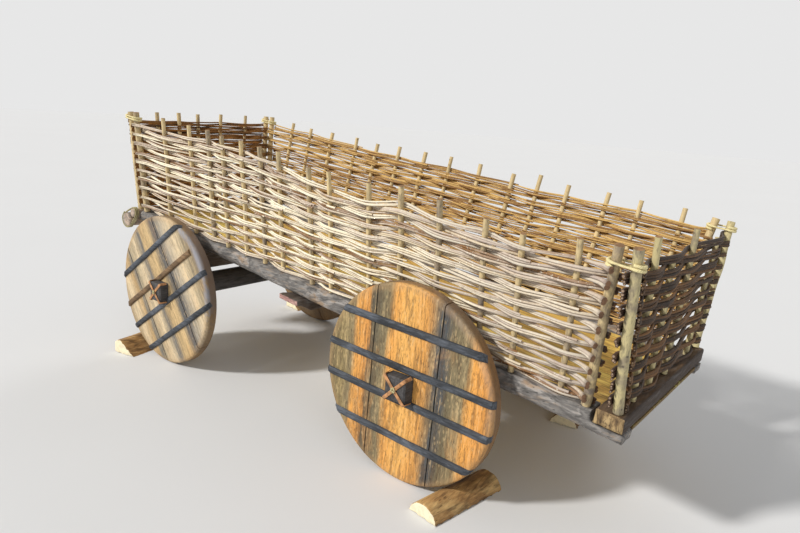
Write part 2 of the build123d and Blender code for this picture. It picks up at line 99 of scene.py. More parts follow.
def paint(red, green, blue):
    """A colour as a screen shows it, 0 to 255, as linear values."""
    def linear(level):
        share = level / 255
        return share / 12.92 if share <= 0.04045 else ((share + 0.055) / 1.055) ** 2.4
    return (linear(red), linear(green), linear(blue), 1.0)


def colour(name, description, shade):
    """A colour property with its default."""
    return FloatVectorProperty(
        name=name, description=description, subtype="COLOR", size=4, min=0, max=1, default=shade)


def length(name, description, default):
    """A length property with its default, in metres."""
    return FloatProperty(name=name, description=description, default=default, min=0, unit="LENGTH")


# Sizes and colours that a user would change

class WagonSizes(bpy.types.PropertyGroup):
    """Sizes of the wagon's woven, hewn and tied pieces."""

    rod_wander: length("Rod wander", "How far a rod strays up or down", 0.0021)
    rows: IntProperty(name="Rows", description="Woven rows of a side wall", default=20, min=1)
    stake_radius: length("Stake radius", "Radius of an upright stake", 0.0110)
    rim_round: length("Rim rounding", "Rounding of a wheel's outer edge", 0.013)
    plank_gap: length("Plank gap", "Gap between two planks of a wheel", 0.0022)
    batten_width: length("Batten width", "Width of a raised batten", 0.030)
    batten_rise: length("Batten rise", "Height of a batten above the wheel", 0.010)
    strap_width: length("Strap width", "Width of the leather straps", 0.013)
    rope_radius: length("Rope radius", "Radius of the tying rope", 0.0056)
    hewn_depth: length("Hewn depth", "Depth of the tool marks on the timbers", 0.0035)


class WagonColours(bpy.types.PropertyGroup):
    """Colours of the wagon's woods, ropes and leather."""

    rod_cream: colour("Cream rod", "Sunlit peeled rods", paint(250, 238, 210))
    rod_tan: colour("Tan rod", "Rods of the near wall", paint(220, 202, 170))
    rod_pink: colour("Pink grey rod", "Weathered rods of the near wall", paint(204, 186, 168))
    rod_gold: colour("Golden rod", "Rods of the far wall", paint(208, 172, 106))
    rod_brown: colour("Brown rod", "Barked rods", paint(136, 96, 54))
    rod_dark: colour("Dark rod", "Barked rods of the rear wall", paint(66, 47, 30))
    stake_tan: colour("Tan stake", "Peeled stakes", paint(206, 184, 138))
    stake_grey: colour("Grey stake", "Barked stakes", paint(126, 114, 106))
    post_green: colour("Green post", "Rear corner posts", paint(200, 186, 138))
    batten: colour("Batten", "Blue grey battens", paint(58, 62, 68))
    axle: colour("Axle", "Axle ends", paint(70, 68, 68))
    timber_grey: colour("Grey timber", "Weathered hewn timber", paint(132, 128, 124))
    timber_ochre: colour("Ochre timber", "Cut faces of the hewn timber", paint(150, 112, 70))
    timber_dark: colour("Dark timber", "Shaded hewn timber", paint(70, 58, 48))
    floor_wood: colour("Floor", "Floor planks", paint(246, 198, 102))
    rope: colour("Rope", "Tying rope", paint(236, 222, 168))
    leather: colour("Leather", "Straps over the axle ends", paint(190, 138, 92))
    stage: colour("Floor of the stage", "Pale studio floor", paint(226, 227, 228))


# Shader nodes

class Wire:
    """A shader value. Arithmetic on it adds Math nodes."""

    def __init__(self, nodes, socket):
        self.nodes = nodes
        self.socket = socket

    def maths(self, operation, *values, clamp=False):
        return self.nodes.add("ShaderNodeMath", {"operation": operation, "use_clamp": clamp},
                              dict(enumerate(values)))

    def __add__(self, other):
        return self.maths("ADD", self, other)

    def __sub__(self, other):
        return self.maths("SUBTRACT", self, other)

    def __rsub__(self, other):
        return self.maths("SUBTRACT", other, self)

    def __mul__(self, other):
        return self.maths("MULTIPLY", self, other)

    def __truediv__(self, other):
        return self.maths("DIVIDE", self, other)

    def __pow__(self, other):
        return self.maths("POWER", self, other)

    __radd__ = __add__
    __rmul__ = __mul__

    def clamp(self):
        return self.maths("ADD", self, 0.0, clamp=True)

    def size(self):
        return self.maths("ABSOLUTE", self)

    def between(self, low, high):
        """0 at low, 1 at high, smooth in between."""
        return self.nodes.add("ShaderNodeMapRange", {"interpolation_type": "SMOOTHSTEP"},
                              {0: self, 1: low, 2: high})


class Nodes:
    """A node tree and the ways to add to it."""

    def __init__(self, tree):
        self.tree = tree

    def plug(self, socket, value):
        if isinstance(value, Wire):
            self.tree.links.new(value.socket, socket)
        else:
            socket.default_value = value

    def add(self, kind, settings=None, values=None, output=0):
        """Add a node: its type, its settings, and what goes into its sockets."""
        node = self.tree.nodes.new(kind)
        for setting, value in (settings or {}).items():
            if setting == "stops":
                elements = node.color_ramp.elements
                for place, _ in value[len(elements):]:
                    elements.new(place)
                for element, (place, shade) in zip(elements, value):
                    element.position = place
                    element.color = shade
            else:
                setattr(node, setting, value)
        for socket, value in (values or {}).items():
            self.plug(node.inputs[socket], value)
        return Wire(self, node.outputs[output])


class Board(Nodes):
    """The nodes of one material. Its base colour is built up coat by coat."""

    def __init__(self, name, base=None, roughness=0.75):
        self.material = bpy.data.materials.new(name)
        self.material.use_nodes = True
        super().__init__(self.material.node_tree)
        self.tree.nodes.clear()
        self.shader = self.tree.nodes.new("ShaderNodeBsdfPrincipled")
        output = self.tree.nodes.new("ShaderNodeOutputMaterial")
        self.tree.links.new(self.shader.outputs[0], output.inputs[0])
        self.shader.inputs["Roughness"].default_value = roughness
        self.base = base

    def place(self, location=(0, 0, 0), rotation=(0, 0, 0), kind="POINT"):
        """Object coordinates, moved and turned."""
        point = self.add("ShaderNodeTexCoord", output=3)
        return self.add("ShaderNodeMapping", {"vector_type": kind},
                        {0: point, 1: location, 2: rotation})

    def scaled(self, vector, scale):
        return self.add("ShaderNodeMapping", {}, {0: vector, 3: scale})

    def noise(self, vector, scale, detail=3.0, roughness=0.55, distortion=0.0):
        return self.add("ShaderNodeTexNoise", {}, {
            "Vector": vector, "Scale": scale, "Detail": detail,
            "Roughness": roughness, "Distortion": distortion})

    def cells(self, vector, scale, feature="F1"):
        return self.add("ShaderNodeTexVoronoi", {"feature": feature},
                        {"Vector": vector, "Scale": scale})

    def parts(self, vector):
        """The three numbers of a vector."""
        split = self.add("ShaderNodeSeparateXYZ", {}, {0: vector})
        return [Wire(self, socket) for socket in split.socket.node.outputs]

    def attribute(self, name):
        return self.add("ShaderNodeAttribute", {"attribute_name": name}, output=2)

    def ramp(self, factor, stops):
        """Make the base colour a ramp. Each stop is (place, shade)."""
        self.base = self.add("ShaderNodeValToRGB", {"stops": stops}, {0: factor})

    def coat(self, mask, shade):
        """Lay a shade over the base colour, as strongly as the mask says."""
        self.base = self.add("ShaderNodeMix", {"data_type": "RGBA"},
                             {0: mask, 6: self.base, 7: shade}, output=2)

    def finish(self, height=None, strength=0.5, depth=0.002, roughness=None):
        """Join colour, relief and roughness to the shader."""
        self.plug(self.shader.inputs["Base Color"], self.base)
        if roughness is not None:
            self.plug(self.shader.inputs["Roughness"], roughness)
        if height is not None:
            self.plug(self.shader.inputs["Normal"], self.add("ShaderNodeBump", {}, {
                "Strength": strength, "Distance": depth, "Height": height}))
        return self.material


def tint(shade, factor):
    """A lighter or darker version of a colour."""
    return (*[min(1.0, level * factor) for level in shade[:3]], 1.0)


def evenly(shades):
    """Stops of a ramp, evenly spaced."""
    return [(number / (len(shades) - 1), shade) for number, shade in enumerate(shades)]


def rod_material(name, shades):
    """Bark or peeled wood of thin rods. Each rod has its tone; a painted shade darkens its
    underside.
    """
    board = Board(name)
    point = board.place()
    tone = board.attribute("tone")
    drift = board.noise(point, 7.0, 2.0) - 0.5
    patch = board.noise(point, 60.0, 4.0, 0.65)
    speck = board.noise(point, 420.0, 2.0, 0.6)
    shine = board.noise(point, 130.0, 2.0)
    board.ramp((tone + drift * 0.45).clamp(), evenly(shades))
    board.coat(patch.between(0.52, 0.74) * 0.45, tint(shades[0], 0.75))
    board.coat(speck.between(0.56, 0.75) * 0.35, tint(shades[0], 0.4))
    board.coat(shine.between(0.56, 0.72) * 0.5, tint(shades[-1], 1.2))
    # Painted shade: the downward-facing sides of the rods are darkened.
    under = board.attribute("under") + (patch - 0.5) * 0.5
    board.coat(under.between(0.30, 0.95) * 0.7, tint(shades[0], 0.42))
    age = board.attribute("age") + (drift + tone - 0.5) * 0.6
    board.coat(age.between(0.35, 1.05) * 0.6, paint(170, 154, 146))
    board.coat(board.attribute("butt") * 0.85, paint(60, 38, 26))
    return board.finish(patch * 0.6 + speck * 0.5, 0.55, 0.0012, 0.62 + patch * 0.25)


def cut_material(name, shade, soil=1.0):
    """Cut end of a rod, stake or log."""
    board = Board(name, shade, roughness=0.8)
    point = board.place()
    fine = board.noise(point, 700.0, 2.0)
    board.coat(board.noise(point, 60.0).between(0.42, 0.62) * soil, tint(shade, 0.62))
    board.coat(fine.between(0.5, 0.7) * 0.5 * soil, tint(shade, 0.42))
    return board.finish(fine, 0.4, 0.001)


def bark_material(name, shades):
    """Stakes and logs: drawn out streaks, mottled patches and dark knots."""
    board = Board(name)
    point = board.place()
    streak = board.noise(board.scaled(point, (1, 1, 0.12)), 150.0, 4.0, 0.6)
    patch = board.noise(point, 14.0, 4.0, 0.65, 0.4)
    tone = board.attribute("tone") * 0.6 + patch.between(0.30, 0.70) * 0.55
    board.ramp(tone.clamp(), evenly(shades))
    board.coat(streak.between(0.48, 0.70) * 0.6, tint(shades[0], 0.55))
    board.coat((1 - board.cells(point, 26.0).between(0.06, 0.16)) * 0.7, tint(shades[0], 0.28))
    return board.finish(streak * 0.8 + patch * 0.5, 0.6, 0.002, 0.62 + streak * 0.3)


def wood_material(name, shades, stretch, patch_scale, grain_scale, flecks, dark_past=None):
    """Sawn or hewn timber whose grain runs along the axis that stretch squeezes.

    dark_past is where along the wagon a painted shade starts, where it is full, and the shade's
    colour.
    """
    board = Board(name)
    point = board.place()
    drawn = board.scaled(point, stretch)
    patch_space = board.scaled(point, [0.35 + 0.65 * share for share in stretch])
    patch = board.noise(patch_space, patch_scale, 4.0, 0.6, 0.5)
    grain = board.noise(drawn, grain_scale, 5.0, 0.62, 0.3)
    fleck = board.noise(drawn, grain_scale * 3.2, 2.0, 0.5)
    crack_space = board.scaled(point, [0.7 * share for share in stretch])
    crack = board.cells(crack_space, grain_scale * 0.28, "DISTANCE_TO_EDGE")
    board.ramp(patch.between(0.30, 0.70), evenly(shades))
    # Painted shade past a place along the wagon.
    if dark_past:
        start, end, shade = dark_past
        board.coat(board.parts(point)[0].between(start, end) * 0.85, shade)
    board.coat(grain.between(0.45, 0.68) * 0.65, tint(shades[0], 0.55))
    board.coat((1 - grain.between(0.30, 0.48)) * 0.4, tint(shades[-1], 1.25))
    board.coat(fleck.between(0.60, 0.72) * flecks, tint(shades[0], 0.30))
    board.coat((1 - crack.between(0.0, 0.035)) * 0.35, tint(shades[0], 0.25))
    height = grain * 0.8 - fleck.between(0.58, 0.72) * 0.5
    return board.finish(height, 0.6, 0.0022, 0.60 + grain * 0.3)


def wheel_material(name, wheel, pale):
    """Planks of a disc wheel: bands of colour across, streaks, flecks, a worn rim and a painted
    shade on the rim's side.
    """
    wheelset, _, turn, seams = WHEELS[wheel]
    board = Board(name)
    centre = (AXLE_PLACES[wheelset], 0, WHEEL_RADIUS)
    point = board.place(centre, (0, -math.radians(turn), 0), "TEXTURE")
    across, deep, along = board.parts(point)
    drawn = board.scaled(point, (1, 1, 0.10))
    sway = board.noise(board.scaled(point, (1, 1, 0.5)), 6.0, 4.0, 0.6) - 0.5
    fringe = board.noise(drawn, 75.0, 3.0, 0.6) - 0.5
    cloud = board.noise(board.scaled(point, (1, 1, 0.45)), 8.0, 5.0, 0.65, 0.6)
    grain = board.noise(drawn, 95.0, 6.0, 0.7, 0.25)
    chisel = board.cells(board.scaled(point, (1, 1, 0.55)), 60.0)
    fleck = board.noise(board.scaled(point, (1, 1, 0.20)), 300.0, 2.0, 0.5)
    reach = 2 * WHEEL_RADIUS
    board.ramp((across + sway * 0.060 + fringe * 0.035) / reach + 0.5,
               [(place / reach + 0.5, paint(*shade)) for place, shade in WHEEL_BANDS[wheel]])
    soiled = (cloud - along * (0.28 - pale * 0.28)).between(0.50, 0.70)
    board.coat(soiled * (0.50 - pale * 0.20), paint(112, 98, 72))
    board.coat((1 - cloud.between(0.30, 0.47)) * (0.40 - pale * 0.25), paint(214, 154, 84))
    board.coat(grain.between(0.47, 0.60) * (0.50 - pale * 0.18), paint(88, 68, 44))
    board.coat((1 - grain.between(0.32, 0.46)) * 0.40, paint(236, 200, 146))
    board.coat((1 - chisel.between(0.12, 0.32)) * 0.22, paint(240, 206, 150))
    board.coat(fleck.between(0.58, 0.70) * (0.48 - pale * 0.2), paint(60, 42, 30))
    for seam in seams:
        gap = (across - seam / 1000 + sway * 0.004).size()
        board.coat((1 - gap.between(0.0008, 0.0045)) * 0.9, paint(22, 20, 20))
    radius = (across * across + along * along) ** 0.5
    edge = (radius + (cloud - 0.5) * 0.040).between(WHEEL_RADIUS - 0.036, WHEEL_RADIUS - 0.010)
    board.coat(edge * 0.35, paint(178, 144, 100))
    level, _, height = board.parts(board.place(centre, kind="TEXTURE"))
    rear_top = (level * 0.85 + height * 0.53) / radius + (cloud - 0.5) * 1.1 + fringe * 0.8
    board.coat(edge * rear_top.between(0.62, 1.0) * (0.12 + pale * 0.58), paint(150, 158, 174))
    # Painted shade: the side of the rim, back from the outer face, is darker brown.
    rim = (deep.size() + (cloud - 0.5) * 0.010).between(WHEEL_FACE - 0.024, WHEEL_FACE - 0.008)
    board.coat((1 - rim) * 0.75, paint(112, 84, 52))
    relief = grain * 0.8 - fleck.between(0.57, 0.66) * 0.6 + cloud * 0.4 + chisel * 0.35
    return board.finish(relief, 0.7, 0.0026, 0.52 + grain * 0.3)


def rope_material(name, shade):
    """Twisted hemp rope."""
    board = Board(name, shade, roughness=0.85)
    point = board.place()
    fibre = board.noise(point, 500.0, 3.0, 0.6)
    board.coat(fibre.between(0.45, 0.70) * 0.6, tint(shade, 0.5))
    board.coat(board.noise(point, 40.0).between(0.50, 0.75) * 0.5, tint(shade, 0.6))
    return board.finish(fibre, 0.5, 0.0008)


def leather_material(name, shade):
    """Stiff old leather with cracks and worn edges."""
    board = Board(name, tint(shade, 1.2))
    point = board.place()
    pore = board.cells(point, 700.0)
    stain = board.noise(point, 60.0, 4.0, 0.6)
    board.coat(stain.between(0.35, 0.65), tint(shade, 0.55))
    board.coat((1 - pore.between(0.1, 0.5)) * 0.35, tint(shade, 0.35))
    return board.finish(pore * 0.5 + stain, 0.4, 0.0008, 0.5 + stain * 0.3)


# Ways of working on a piece

def only(*pieces):
    """Select just these pieces; the first is the active one."""
    bpy.ops.object.select_all(action="DESELECT")
    for piece in pieces:
        piece.select_set(True)
    bpy.context.view_layer.objects.active = pieces[0]


@contextmanager
def edit_mode(piece, picked=""):
    """A piece open in edit mode, with all of it selected, or just the picked EDGEs or FACEs."""
    only(piece)
    kinds = ("VERT", "EDGE", "FACE")
    bpy.context.tool_settings.mesh_select_mode = [kind == (picked or "VERT") for kind in kinds]
    bpy.ops.object.mode_set(mode="EDIT")
    if not picked:
        bpy.ops.mesh.select_all(action="SELECT")
    yield
    bpy.ops.object.mode_set(mode="OBJECT")


def add_to_scene(name, data):
    piece = bpy.data.objects.new(name, data)
    bpy.context.scene.collection.objects.link(piece)
    return piece


def give_name(piece, name):
    piece.name = name
    piece.data.name = name
    return piece


def settle(piece, matrix=None):
    """Put a piece's place into its mesh."""
    only(piece)
    bpy.context.view_layer.update()
    if matrix is not None:
        piece.matrix_world = matrix @ piece.matrix_world
    bpy.ops.object.transform_apply(location=True, rotation=True, scale=True)
    return piece


def finish_with(piece, kind, **settings):
    """Add a modifier and apply it."""
    only(piece)
    modifier = piece.modifiers.new(kind.title(), kind)
    for setting, value in settings.items():
        setattr(modifier, setting, value)
    bpy.ops.object.modifier_apply(modifier=modifier.name)
    return piece


def joined(pieces, name):
    """Several pieces made one."""
    only(*pieces)
    if len(pieces) > 1:
        bpy.ops.object.join()
    return give_name(bpy.context.object, name)


def merge(piece, distance=0.00005, close=False):
    """Merge doubled vertices, close openings if asked, and turn the faces outwards."""
    with edit_mode(piece):
        bpy.ops.mesh.remove_doubles(threshold=distance)
        if close:
            bpy.ops.mesh.fill_holes(sides=0)
            bpy.ops.mesh.select_all(action="SELECT")
        bpy.ops.mesh.normals_make_consistent(inside=False)
    return piece


def cut(piece, point, normal, keep_below=True, fill=True):
    """Cut a piece along a plane, and throw away the side that the normal points to."""
    with edit_mode(piece):
        bpy.ops.mesh.bisect(
            plane_co=point, plane_no=normal, use_fill=fill, clear_outer=keep_below)


def points_of(piece):
    """A piece's vertices and their normals."""
    mesh = piece.data
    places = np.zeros(len(mesh.vertices) * 3)
    mesh.vertices.foreach_get("co", places)
    normals = np.zeros(len(mesh.vertices) * 3)
    mesh.vertices.foreach_get("normal", normals)
    return places.reshape(-1, 3), normals.reshape(-1, 3)


def place_points(piece, places):
    piece.data.vertices.foreach_set("co", places.ravel())
    piece.data.update()


def noise_at(places, scale, seed):
    """Smooth noise at each place, about -1 to 1."""
    shift = Vector((seed * 7.13, seed * 3.71, seed * 1.97))
    return np.array([noise.noise(Vector(place) + shift) for place in places * scale])


def dents_at(places, scale, seed):
    """Shallow scoops, as an adze leaves: 0 at a scoop's middle, 1 at its edge."""
    shift = Vector((seed * 5.31, seed * 2.17, seed * 4.73))
    return np.array([min(1.0, noise.voronoi(Vector(place) + shift)[0][0])
                     for place in places * scale])


def roughen(piece, depth, scale, seed, dents=0.0, dent_scale=(10, 30, 30)):
    """Make a piece's surface uneven; what it loses is never more than the depths."""
    places, normals = points_of(piece)
    sink = depth * (0.5 - 0.5 * noise_at(places, scale, seed))
    if dents:
        sink = sink + dents * (1 - dents_at(places, dent_scale, seed)) * 0.8
    place_points(piece, places - normals * sink[:, None])
    return piece


def shape_copy(name, node, voxel):
    """A copy of a CAD node's shape, with its mesh made even."""
    piece = add_to_scene(name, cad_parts[node].data.copy())
    piece.data.materials.clear()
    merge(piece)
    finish_with(piece, "REMESH", mode="VOXEL", voxel_size=voxel)
    finish_with(piece, "SMOOTH", factor=0.5, iterations=2)
    return give_name(piece, name)


def dress(piece, *materials):
    piece.data.materials.clear()
    for material in materials:
        piece.data.materials.append(material)


def complete(piece, angle, materials, body, slot, *nodes):
    """Shade and dress a piece. It rides on a body and replaces CAD nodes. The slot is not used."""
    only(piece)
    bpy.ops.object.shade_smooth_by_angle(angle=math.radians(angle))
    if materials:
        dress(piece, *materials)
    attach(piece, body)
    if nodes:
        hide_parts(*nodes)


def write_value(piece, name, value):
    """One number for every vertex of a piece, which its material reads."""
    layer = piece.data.attributes.new(name, "FLOAT", "POINT")
    values = np.broadcast_to(value, len(piece.data.vertices))
    layer.data.foreach_set("value", values.astype(np.float32))


# Rods, stakes and ropes: round lengths drawn as curves

def smooth_curve(name, paths, resolution, **settings):
    """A curve with a smooth run along each path of (point, share of the radius)."""
    curve = bpy.data.curves.new(name, "CURVE")
    for setting, value in settings.items():
        setattr(curve, setting, value)
    for path in paths:
        spline = curve.splines.new("NURBS")
        spline.points.add(len(path) - 1)
        for control, (point, share) in zip(spline.points, path):
            control.co = (*point, 1)
            control.radius = share
        spline.order_u = 3
        spline.use_endpoint_u = True
        spline.resolution_u = resolution
    return curve


def curve_mesh(name, curve):
    """A piece with the mesh of a curve."""
    only(add_to_scene(name, curve))
    bpy.ops.object.convert(target="MESH")
    return bpy.context.object


def tubes(name, paths, radius, sides=1, resolution=5):
    """Smooth round lengths along paths, closed at both ends."""
    curve = smooth_curve(name, paths, resolution, dimensions="3D", bevel_depth=radius,
                         bevel_resolution=sides, use_fill_caps=True)
    return merge(curve_mesh(name, curve), 0.00002)


def mark_end_grain(piece, facing, past=0.0):
    """Give the faces that look across the wagon, past a distance, the second material."""
    is_end = [int(abs(face.normal.y) > facing and abs(face.center.y) > past)
              for face in piece.data.polygons]
    piece.data.polygons.foreach_set("material_index", is_end)


def mark_cut_ends(piece):
    """Give the flat caps of tubes the second material."""
    is_cap = [int(len(face.vertices) == 3) for face in piece.data.polygons]
    piece.data.polygons.foreach_set("material_index", is_cap)


def ring_cut_ends(piece, bark):
    """Leave a ring of bark round the cut wood of every cap of some tubes."""
    for face in piece.data.polygons:
        face.select = len(face.vertices) == 3
    with edit_mode(piece, "FACE"):
        bpy.ops.mesh.inset(thickness=bark, depth=0)


def bed_place(along, across, height):
    """Point on the sloping bed: distance from the rear end, across, height above the rails."""
    return BED_ORIGIN + ALONG * along + ACROSS * across + UPWARD * height


def to_bed(point):
    """The same three distances of a point."""
    offset = Vector(point) - BED_ORIGIN
    return Vector((offset.dot(ALONG), offset.y, offset.dot(UPWARD)))


def stake_lines(node):
    """Foot and head of each stake of a CAD node, in bed distances, in order along its wall."""
    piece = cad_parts[node]
    places = np.round(points_of(piece)[0], 5)
    groups = []
    for face in piece.data.polygons:
        group = {tuple(places[vertex]) for vertex in face.vertices}
        for other in [other for other in groups if other & group]:
            groups.remove(other)
            group |= other
        groups.append(group)
    end_depth, wall_width = 0.012, 0.3
    stakes = []
    for group in groups:
        points = [to_bed(place) for place in group]
        ends = []
        for level in (min(point.z for point in points), max(point.z for point in points)):
            ring = [point.xy for point in points if abs(point.z - level) < end_depth]
            middle = [(min(values) + max(values)) / 2 for values in zip(*ring)]
            ends.append(Vector((*middle, level)))
        stakes.append(ends)
    feet = [foot.y for foot, _ in stakes]
    axis = 1 if max(feet) - min(feet) > wall_width else 0
    return sorted(stakes, key=lambda ends: ends[0][axis])


def stake_at(stake, height):
    """Where a stake's axis is at a height, in bed distances."""
    foot, head = stake
    share = (height - foot.z) / (head.z - foot.z)
    return foot.lerp(head, share)


# Top edge of each wall's weave: place along the wall, height above the rails
WALL_TOPS = {
    "near": ((0.11, 0.489), (0.23, 0.481), (0.42, 0.457), (0.55, 0.463), (0.74, 0.461),
             (0.91, 0.480), (1.06, 0.442), (1.28, 0.442), (1.58, 0.471), (1.71, 0.489),
             (2.07, 0.491), (2.49, 0.468)),
    "far": ((0.11, 0.470), (0.50, 0.476), (0.90, 0.462), (1.40, 0.470), (1.90, 0.466),
            (2.40, 0.474)),
    "rear": ((-0.5, 0.490), (-0.1, 0.492), (0.5, 0.480)),
    "front": ((-0.5, 0.472), (0.5, 0.470)),
}

# How each wall is woven: side of the lowest row at the first post, way outwards, height of the
# foot, rods in a row, their spacing, radius at the thick end and at the thin end, in metres
WEAVES = {
    "near": (1, -1, 0.000, 3, 0.0080, 0.0046, 0.0035),
    "far": (-1, 1, 0.000, 5, 0.0062, 0.0040, 0.0031),
    "rear": (1, 1, 0.018, 4, 0.0084, 0.0056, 0.0046),
    "front": (-1, -1, 0.003, 6, 0.0058, 0.0042, 0.0034),
}
THICKEST_ROD = 0.0070

# How far a rod swings out at a stake, as a share of its distance when it only touches
SWING = 1.2

# Numbers of tones, and of steps along a stake
ROD_TONES = 12
STAKE_TONES = 6
STAKE_STEPS = 6

# Rope: from one turn to the next in the corner ties and in the lashings; how far a strand runs in
# one turn; its distance from the middle and its radius, as shares of the rope's radius
TIE_PITCH = 0.011
LASHING_PITCH = 0.0085
STRAND_TURN = 0.016
STRAND_PLACE = 0.48
STRAND_RADIUS = 0.56

# How crooked a stake is, how far its head stays below the model's, and its taper: its radius at
# the foot, and what it loses towards the head
STAKE_BEND = 0.0022
HEAD_ROOM = 0.003
STAKE_TAPER = (1.03, 0.08)


class Weave:
    """One wall's rods, woven in and out of its stakes row by row."""

    def __init__(self, name, sizes, seed):
        self.name = name
        self.sizes = sizes
        self.dice = random.Random(seed)
        self.stakes = stake_lines(f"{name}_wall_stakes")
        self.last = len(self.stakes) - 1
        self.is_end_wall = name in ("rear", "front")
        (self.first_side, self.outwards, self.foot, self.lanes, self.spacing,
         self.butt, self.tip) = WEAVES[name]
        self.rows = sizes.rows - (1 if self.is_end_wall else 0)

    def level(self, number, row):
        """Height of the middle of a row at a stake."""
        foot = self.stakes[number][0]
        places, heights = zip(*WALL_TOPS[self.name])
        top = float(np.interp(foot.y if self.is_end_wall else foot.x, places, heights))
        low = self.foot + 0.003
        return low + (top - low) * (row + 0.5) / self.rows

    def directions(self, number):
        """Along the wall and out of it, at a stake."""
        before = self.stakes[max(0, number - 1)][0]
        after = self.stakes[min(self.last, number + 1)][0]
        way = Vector((after.x - before.x, after.y - before.y, 0)).normalized()
        return way, Vector((-way.y, way.x, 0))

    def runs(self):
        """Where a row's rods begin and end: lane, stakes, radius at both ends."""
        for lane in range(self.lanes):
            start = 0
            while start < self.last:
                end = min(self.last, start + self.dice.randint(5, 9))
                if self.last - end < 3:
                    end = self.last
                thick, thin = self.butt, self.tip
                if self.name == "near" and start == 0:
                    if lane == 2:
                        start = self.dice.randint(1, 2)
                        end = max(end, start + 3)
                    else:
                        thick, thin = THICKEST_ROD * self.dice.uniform(0.85, 1.0), self.butt
                elif self.dice.random() < 0.4:
                    thick, thin = thin, thick
                yield lane, start, min(end, self.last), thick, thin
                start = end

    def paths(self):
        """Every rod as its tone and its path of (point, radius)."""
        for row in range(self.rows):
            for run in self.runs():
                yield self.dice.random(), self.rod(row, *run)

    def rod(self, row, lane, start, end, thick, thin):
        """One rod's path: past each stake on its side, and halfway between two stakes."""
        dice = self.dice
        lift_first = (lane - (self.lanes - 1) / 2) * self.spacing
        fall = 0.22 if thick > self.butt else 0.7
        lift_last = lift_first * dice.choice((1, 1, 0.5, -0.4)) + dice.uniform(-0.0015, 0.0015)
        size = dice.uniform(0.88, 1.10)
        before = None
        path = []
        for number in range(start, end + 1):
            share = (number - start) / max(1, end - start)
            radius = min(THICKEST_ROD, (thick + (thin - thick) * share ** fall) * size)
            row_level = self.level(number, row)
            lift = (lift_first + (lift_last - lift_first) * share) * max(1.0, radius / self.butt)
            lift += dice.gauss(0, 1) * self.sizes.rod_wander
            axis = stake_at(self.stakes[number], row_level + lift)
            axis.z = row_level + lift
            if before:
                between = (before[0] + axis) / 2
                between.z = (before[1] + row_level) / 2 + (before[2] + lift) / 2 * 0.85
                between.z += dice.gauss(0, 1) * self.sizes.rod_wander * 0.8
                path.append((bed_place(*between), radius))
            before = (axis.copy(), row_level, lift)
            way, out = self.directions(number)
            side = self.first_side * (-1) ** (row + number)
            is_post = number in (0, self.last)
            touch = (POST_RADIUS if is_post else self.sizes.stake_radius) + radius * 0.95
            if number in (start, end):
                path += self.ending(axis, way, out * side, side, touch, radius, is_post,
                                    number == start)
            else:
                path.append((bed_place(*(axis + out * side * touch * SWING)), radius))
        return path

    def ending(self, axis, way, aside, side, touch, radius, is_post, at_start):
        """Control points at a rod's end: cut beside a post, or tucked in past a stake."""
        dice = self.dice
        back = -1 if at_start else 1
        on_outside = side == self.outwards
        if not is_post:
            tail = axis + way * back * dice.uniform(0.022, 0.045)
            points = [axis + aside * touch * 1.2, tail + aside * touch * dice.uniform(0.7, 1.1)]
        elif self.name == "rear" and on_outside:
            reach = dice.uniform(0.021, 0.028)
            points = [axis - way * back * (reach + 0.03) + aside * touch * 0.55,
                      axis - way * back * reach + aside * touch * 0.75]
        elif on_outside:
            points = [axis - way * back * 0.024 + aside * touch * 0.35,
                      axis + way * back * dice.uniform(0.0, 0.004) + aside * (touch + 0.009)]
        else:
            reach = dice.uniform(*(0.022, 0.040) if self.name == "rear" else (0.013, 0.020))
            points = [axis + aside * touch * 1.3, axis + way * back * reach + aside * touch * 0.95]
        swell = 1.35 if self.name == "near" and is_post and at_start and on_outside else 1.0
        ends = [(bed_place(*points[0]), radius), (bed_place(*points[1]), radius * swell)]
        return ends[::-1] if at_start else ends


def toned_tubes(name, batches, tones, *shape):
    """Tubes made one piece; each batch of paths has its tone."""
    pieces = []
    for step, paths in sorted(batches.items()):
        piece = tubes(f"{name}_{step}", paths, *shape)
        write_value(piece, "tone", (step + 0.5) / tones)
        pieces.append(piece)
    return joined(pieces, name)


def weave_wall(name, shades, sizes, seed, cut_shade):
    """All rods of a wall as one piece."""
    weave = Weave(name, sizes, seed)
    batches = {}
    for tone, path in weave.paths():
        path = [(point, radius / THICKEST_ROD) for point, radius in path]
        batches.setdefault(int(tone * ROD_TONES), []).append(path)
    wall = toned_tubes(f"{name}_wicker", batches, ROD_TONES, THICKEST_ROD, 1, 3)
    if name == "rear":
        ring_cut_ends(wall, 0.0014)
    darken_ends(wall, weave.stakes, name)
    places, normals = points_of(wall)
    # Painted shade for the rods' downward-facing sides, read by the rod material.
    write_value(wall, "under", np.clip(0.25 - normals[:, 2], 0, 1))
    age = np.clip(places[:, 0] / 1.4 * 0.75 + 0.15, 0, 1) if name == "near" else 0.0
    write_value(wall, "age", age)
    materials = (rod_material(f"{name}_rods", shades),
                 cut_material(f"{name}_rod_ends", cut_shade))
    complete(wall, 80, materials, "wagon_body", "rods", f"{name}_wall_weave")
    mark_cut_ends(wall)


def darken_ends(wall, stakes, name):
    """Rods keep their dark bark near the corner posts, most of all at the rear."""
    places, _ = points_of(wall)
    beds = (places - np.array(BED_ORIGIN)) @ np.array((ALONG, ACROSS, UPWARD)).T
    axis = 1 if name in ("rear", "front") else 0
    first, last = [
        foot[axis] + (beds[:, 2] - foot.z) / (head.z - foot.z) * (head[axis] - foot[axis])
        for foot, head in (stakes[0], stakes[-1])]
    starts, fades_over = 0.012, 0.014
    past = np.maximum(first - beds[:, axis], beds[:, axis] - last)
    dark = np.where(places[:, 0] > 0, 1.0 if name in ("near", "rear") else 0.4, 0.4)
    write_value(wall, "butt", np.clip((past + starts) / fades_over, 0, 1) * dark)


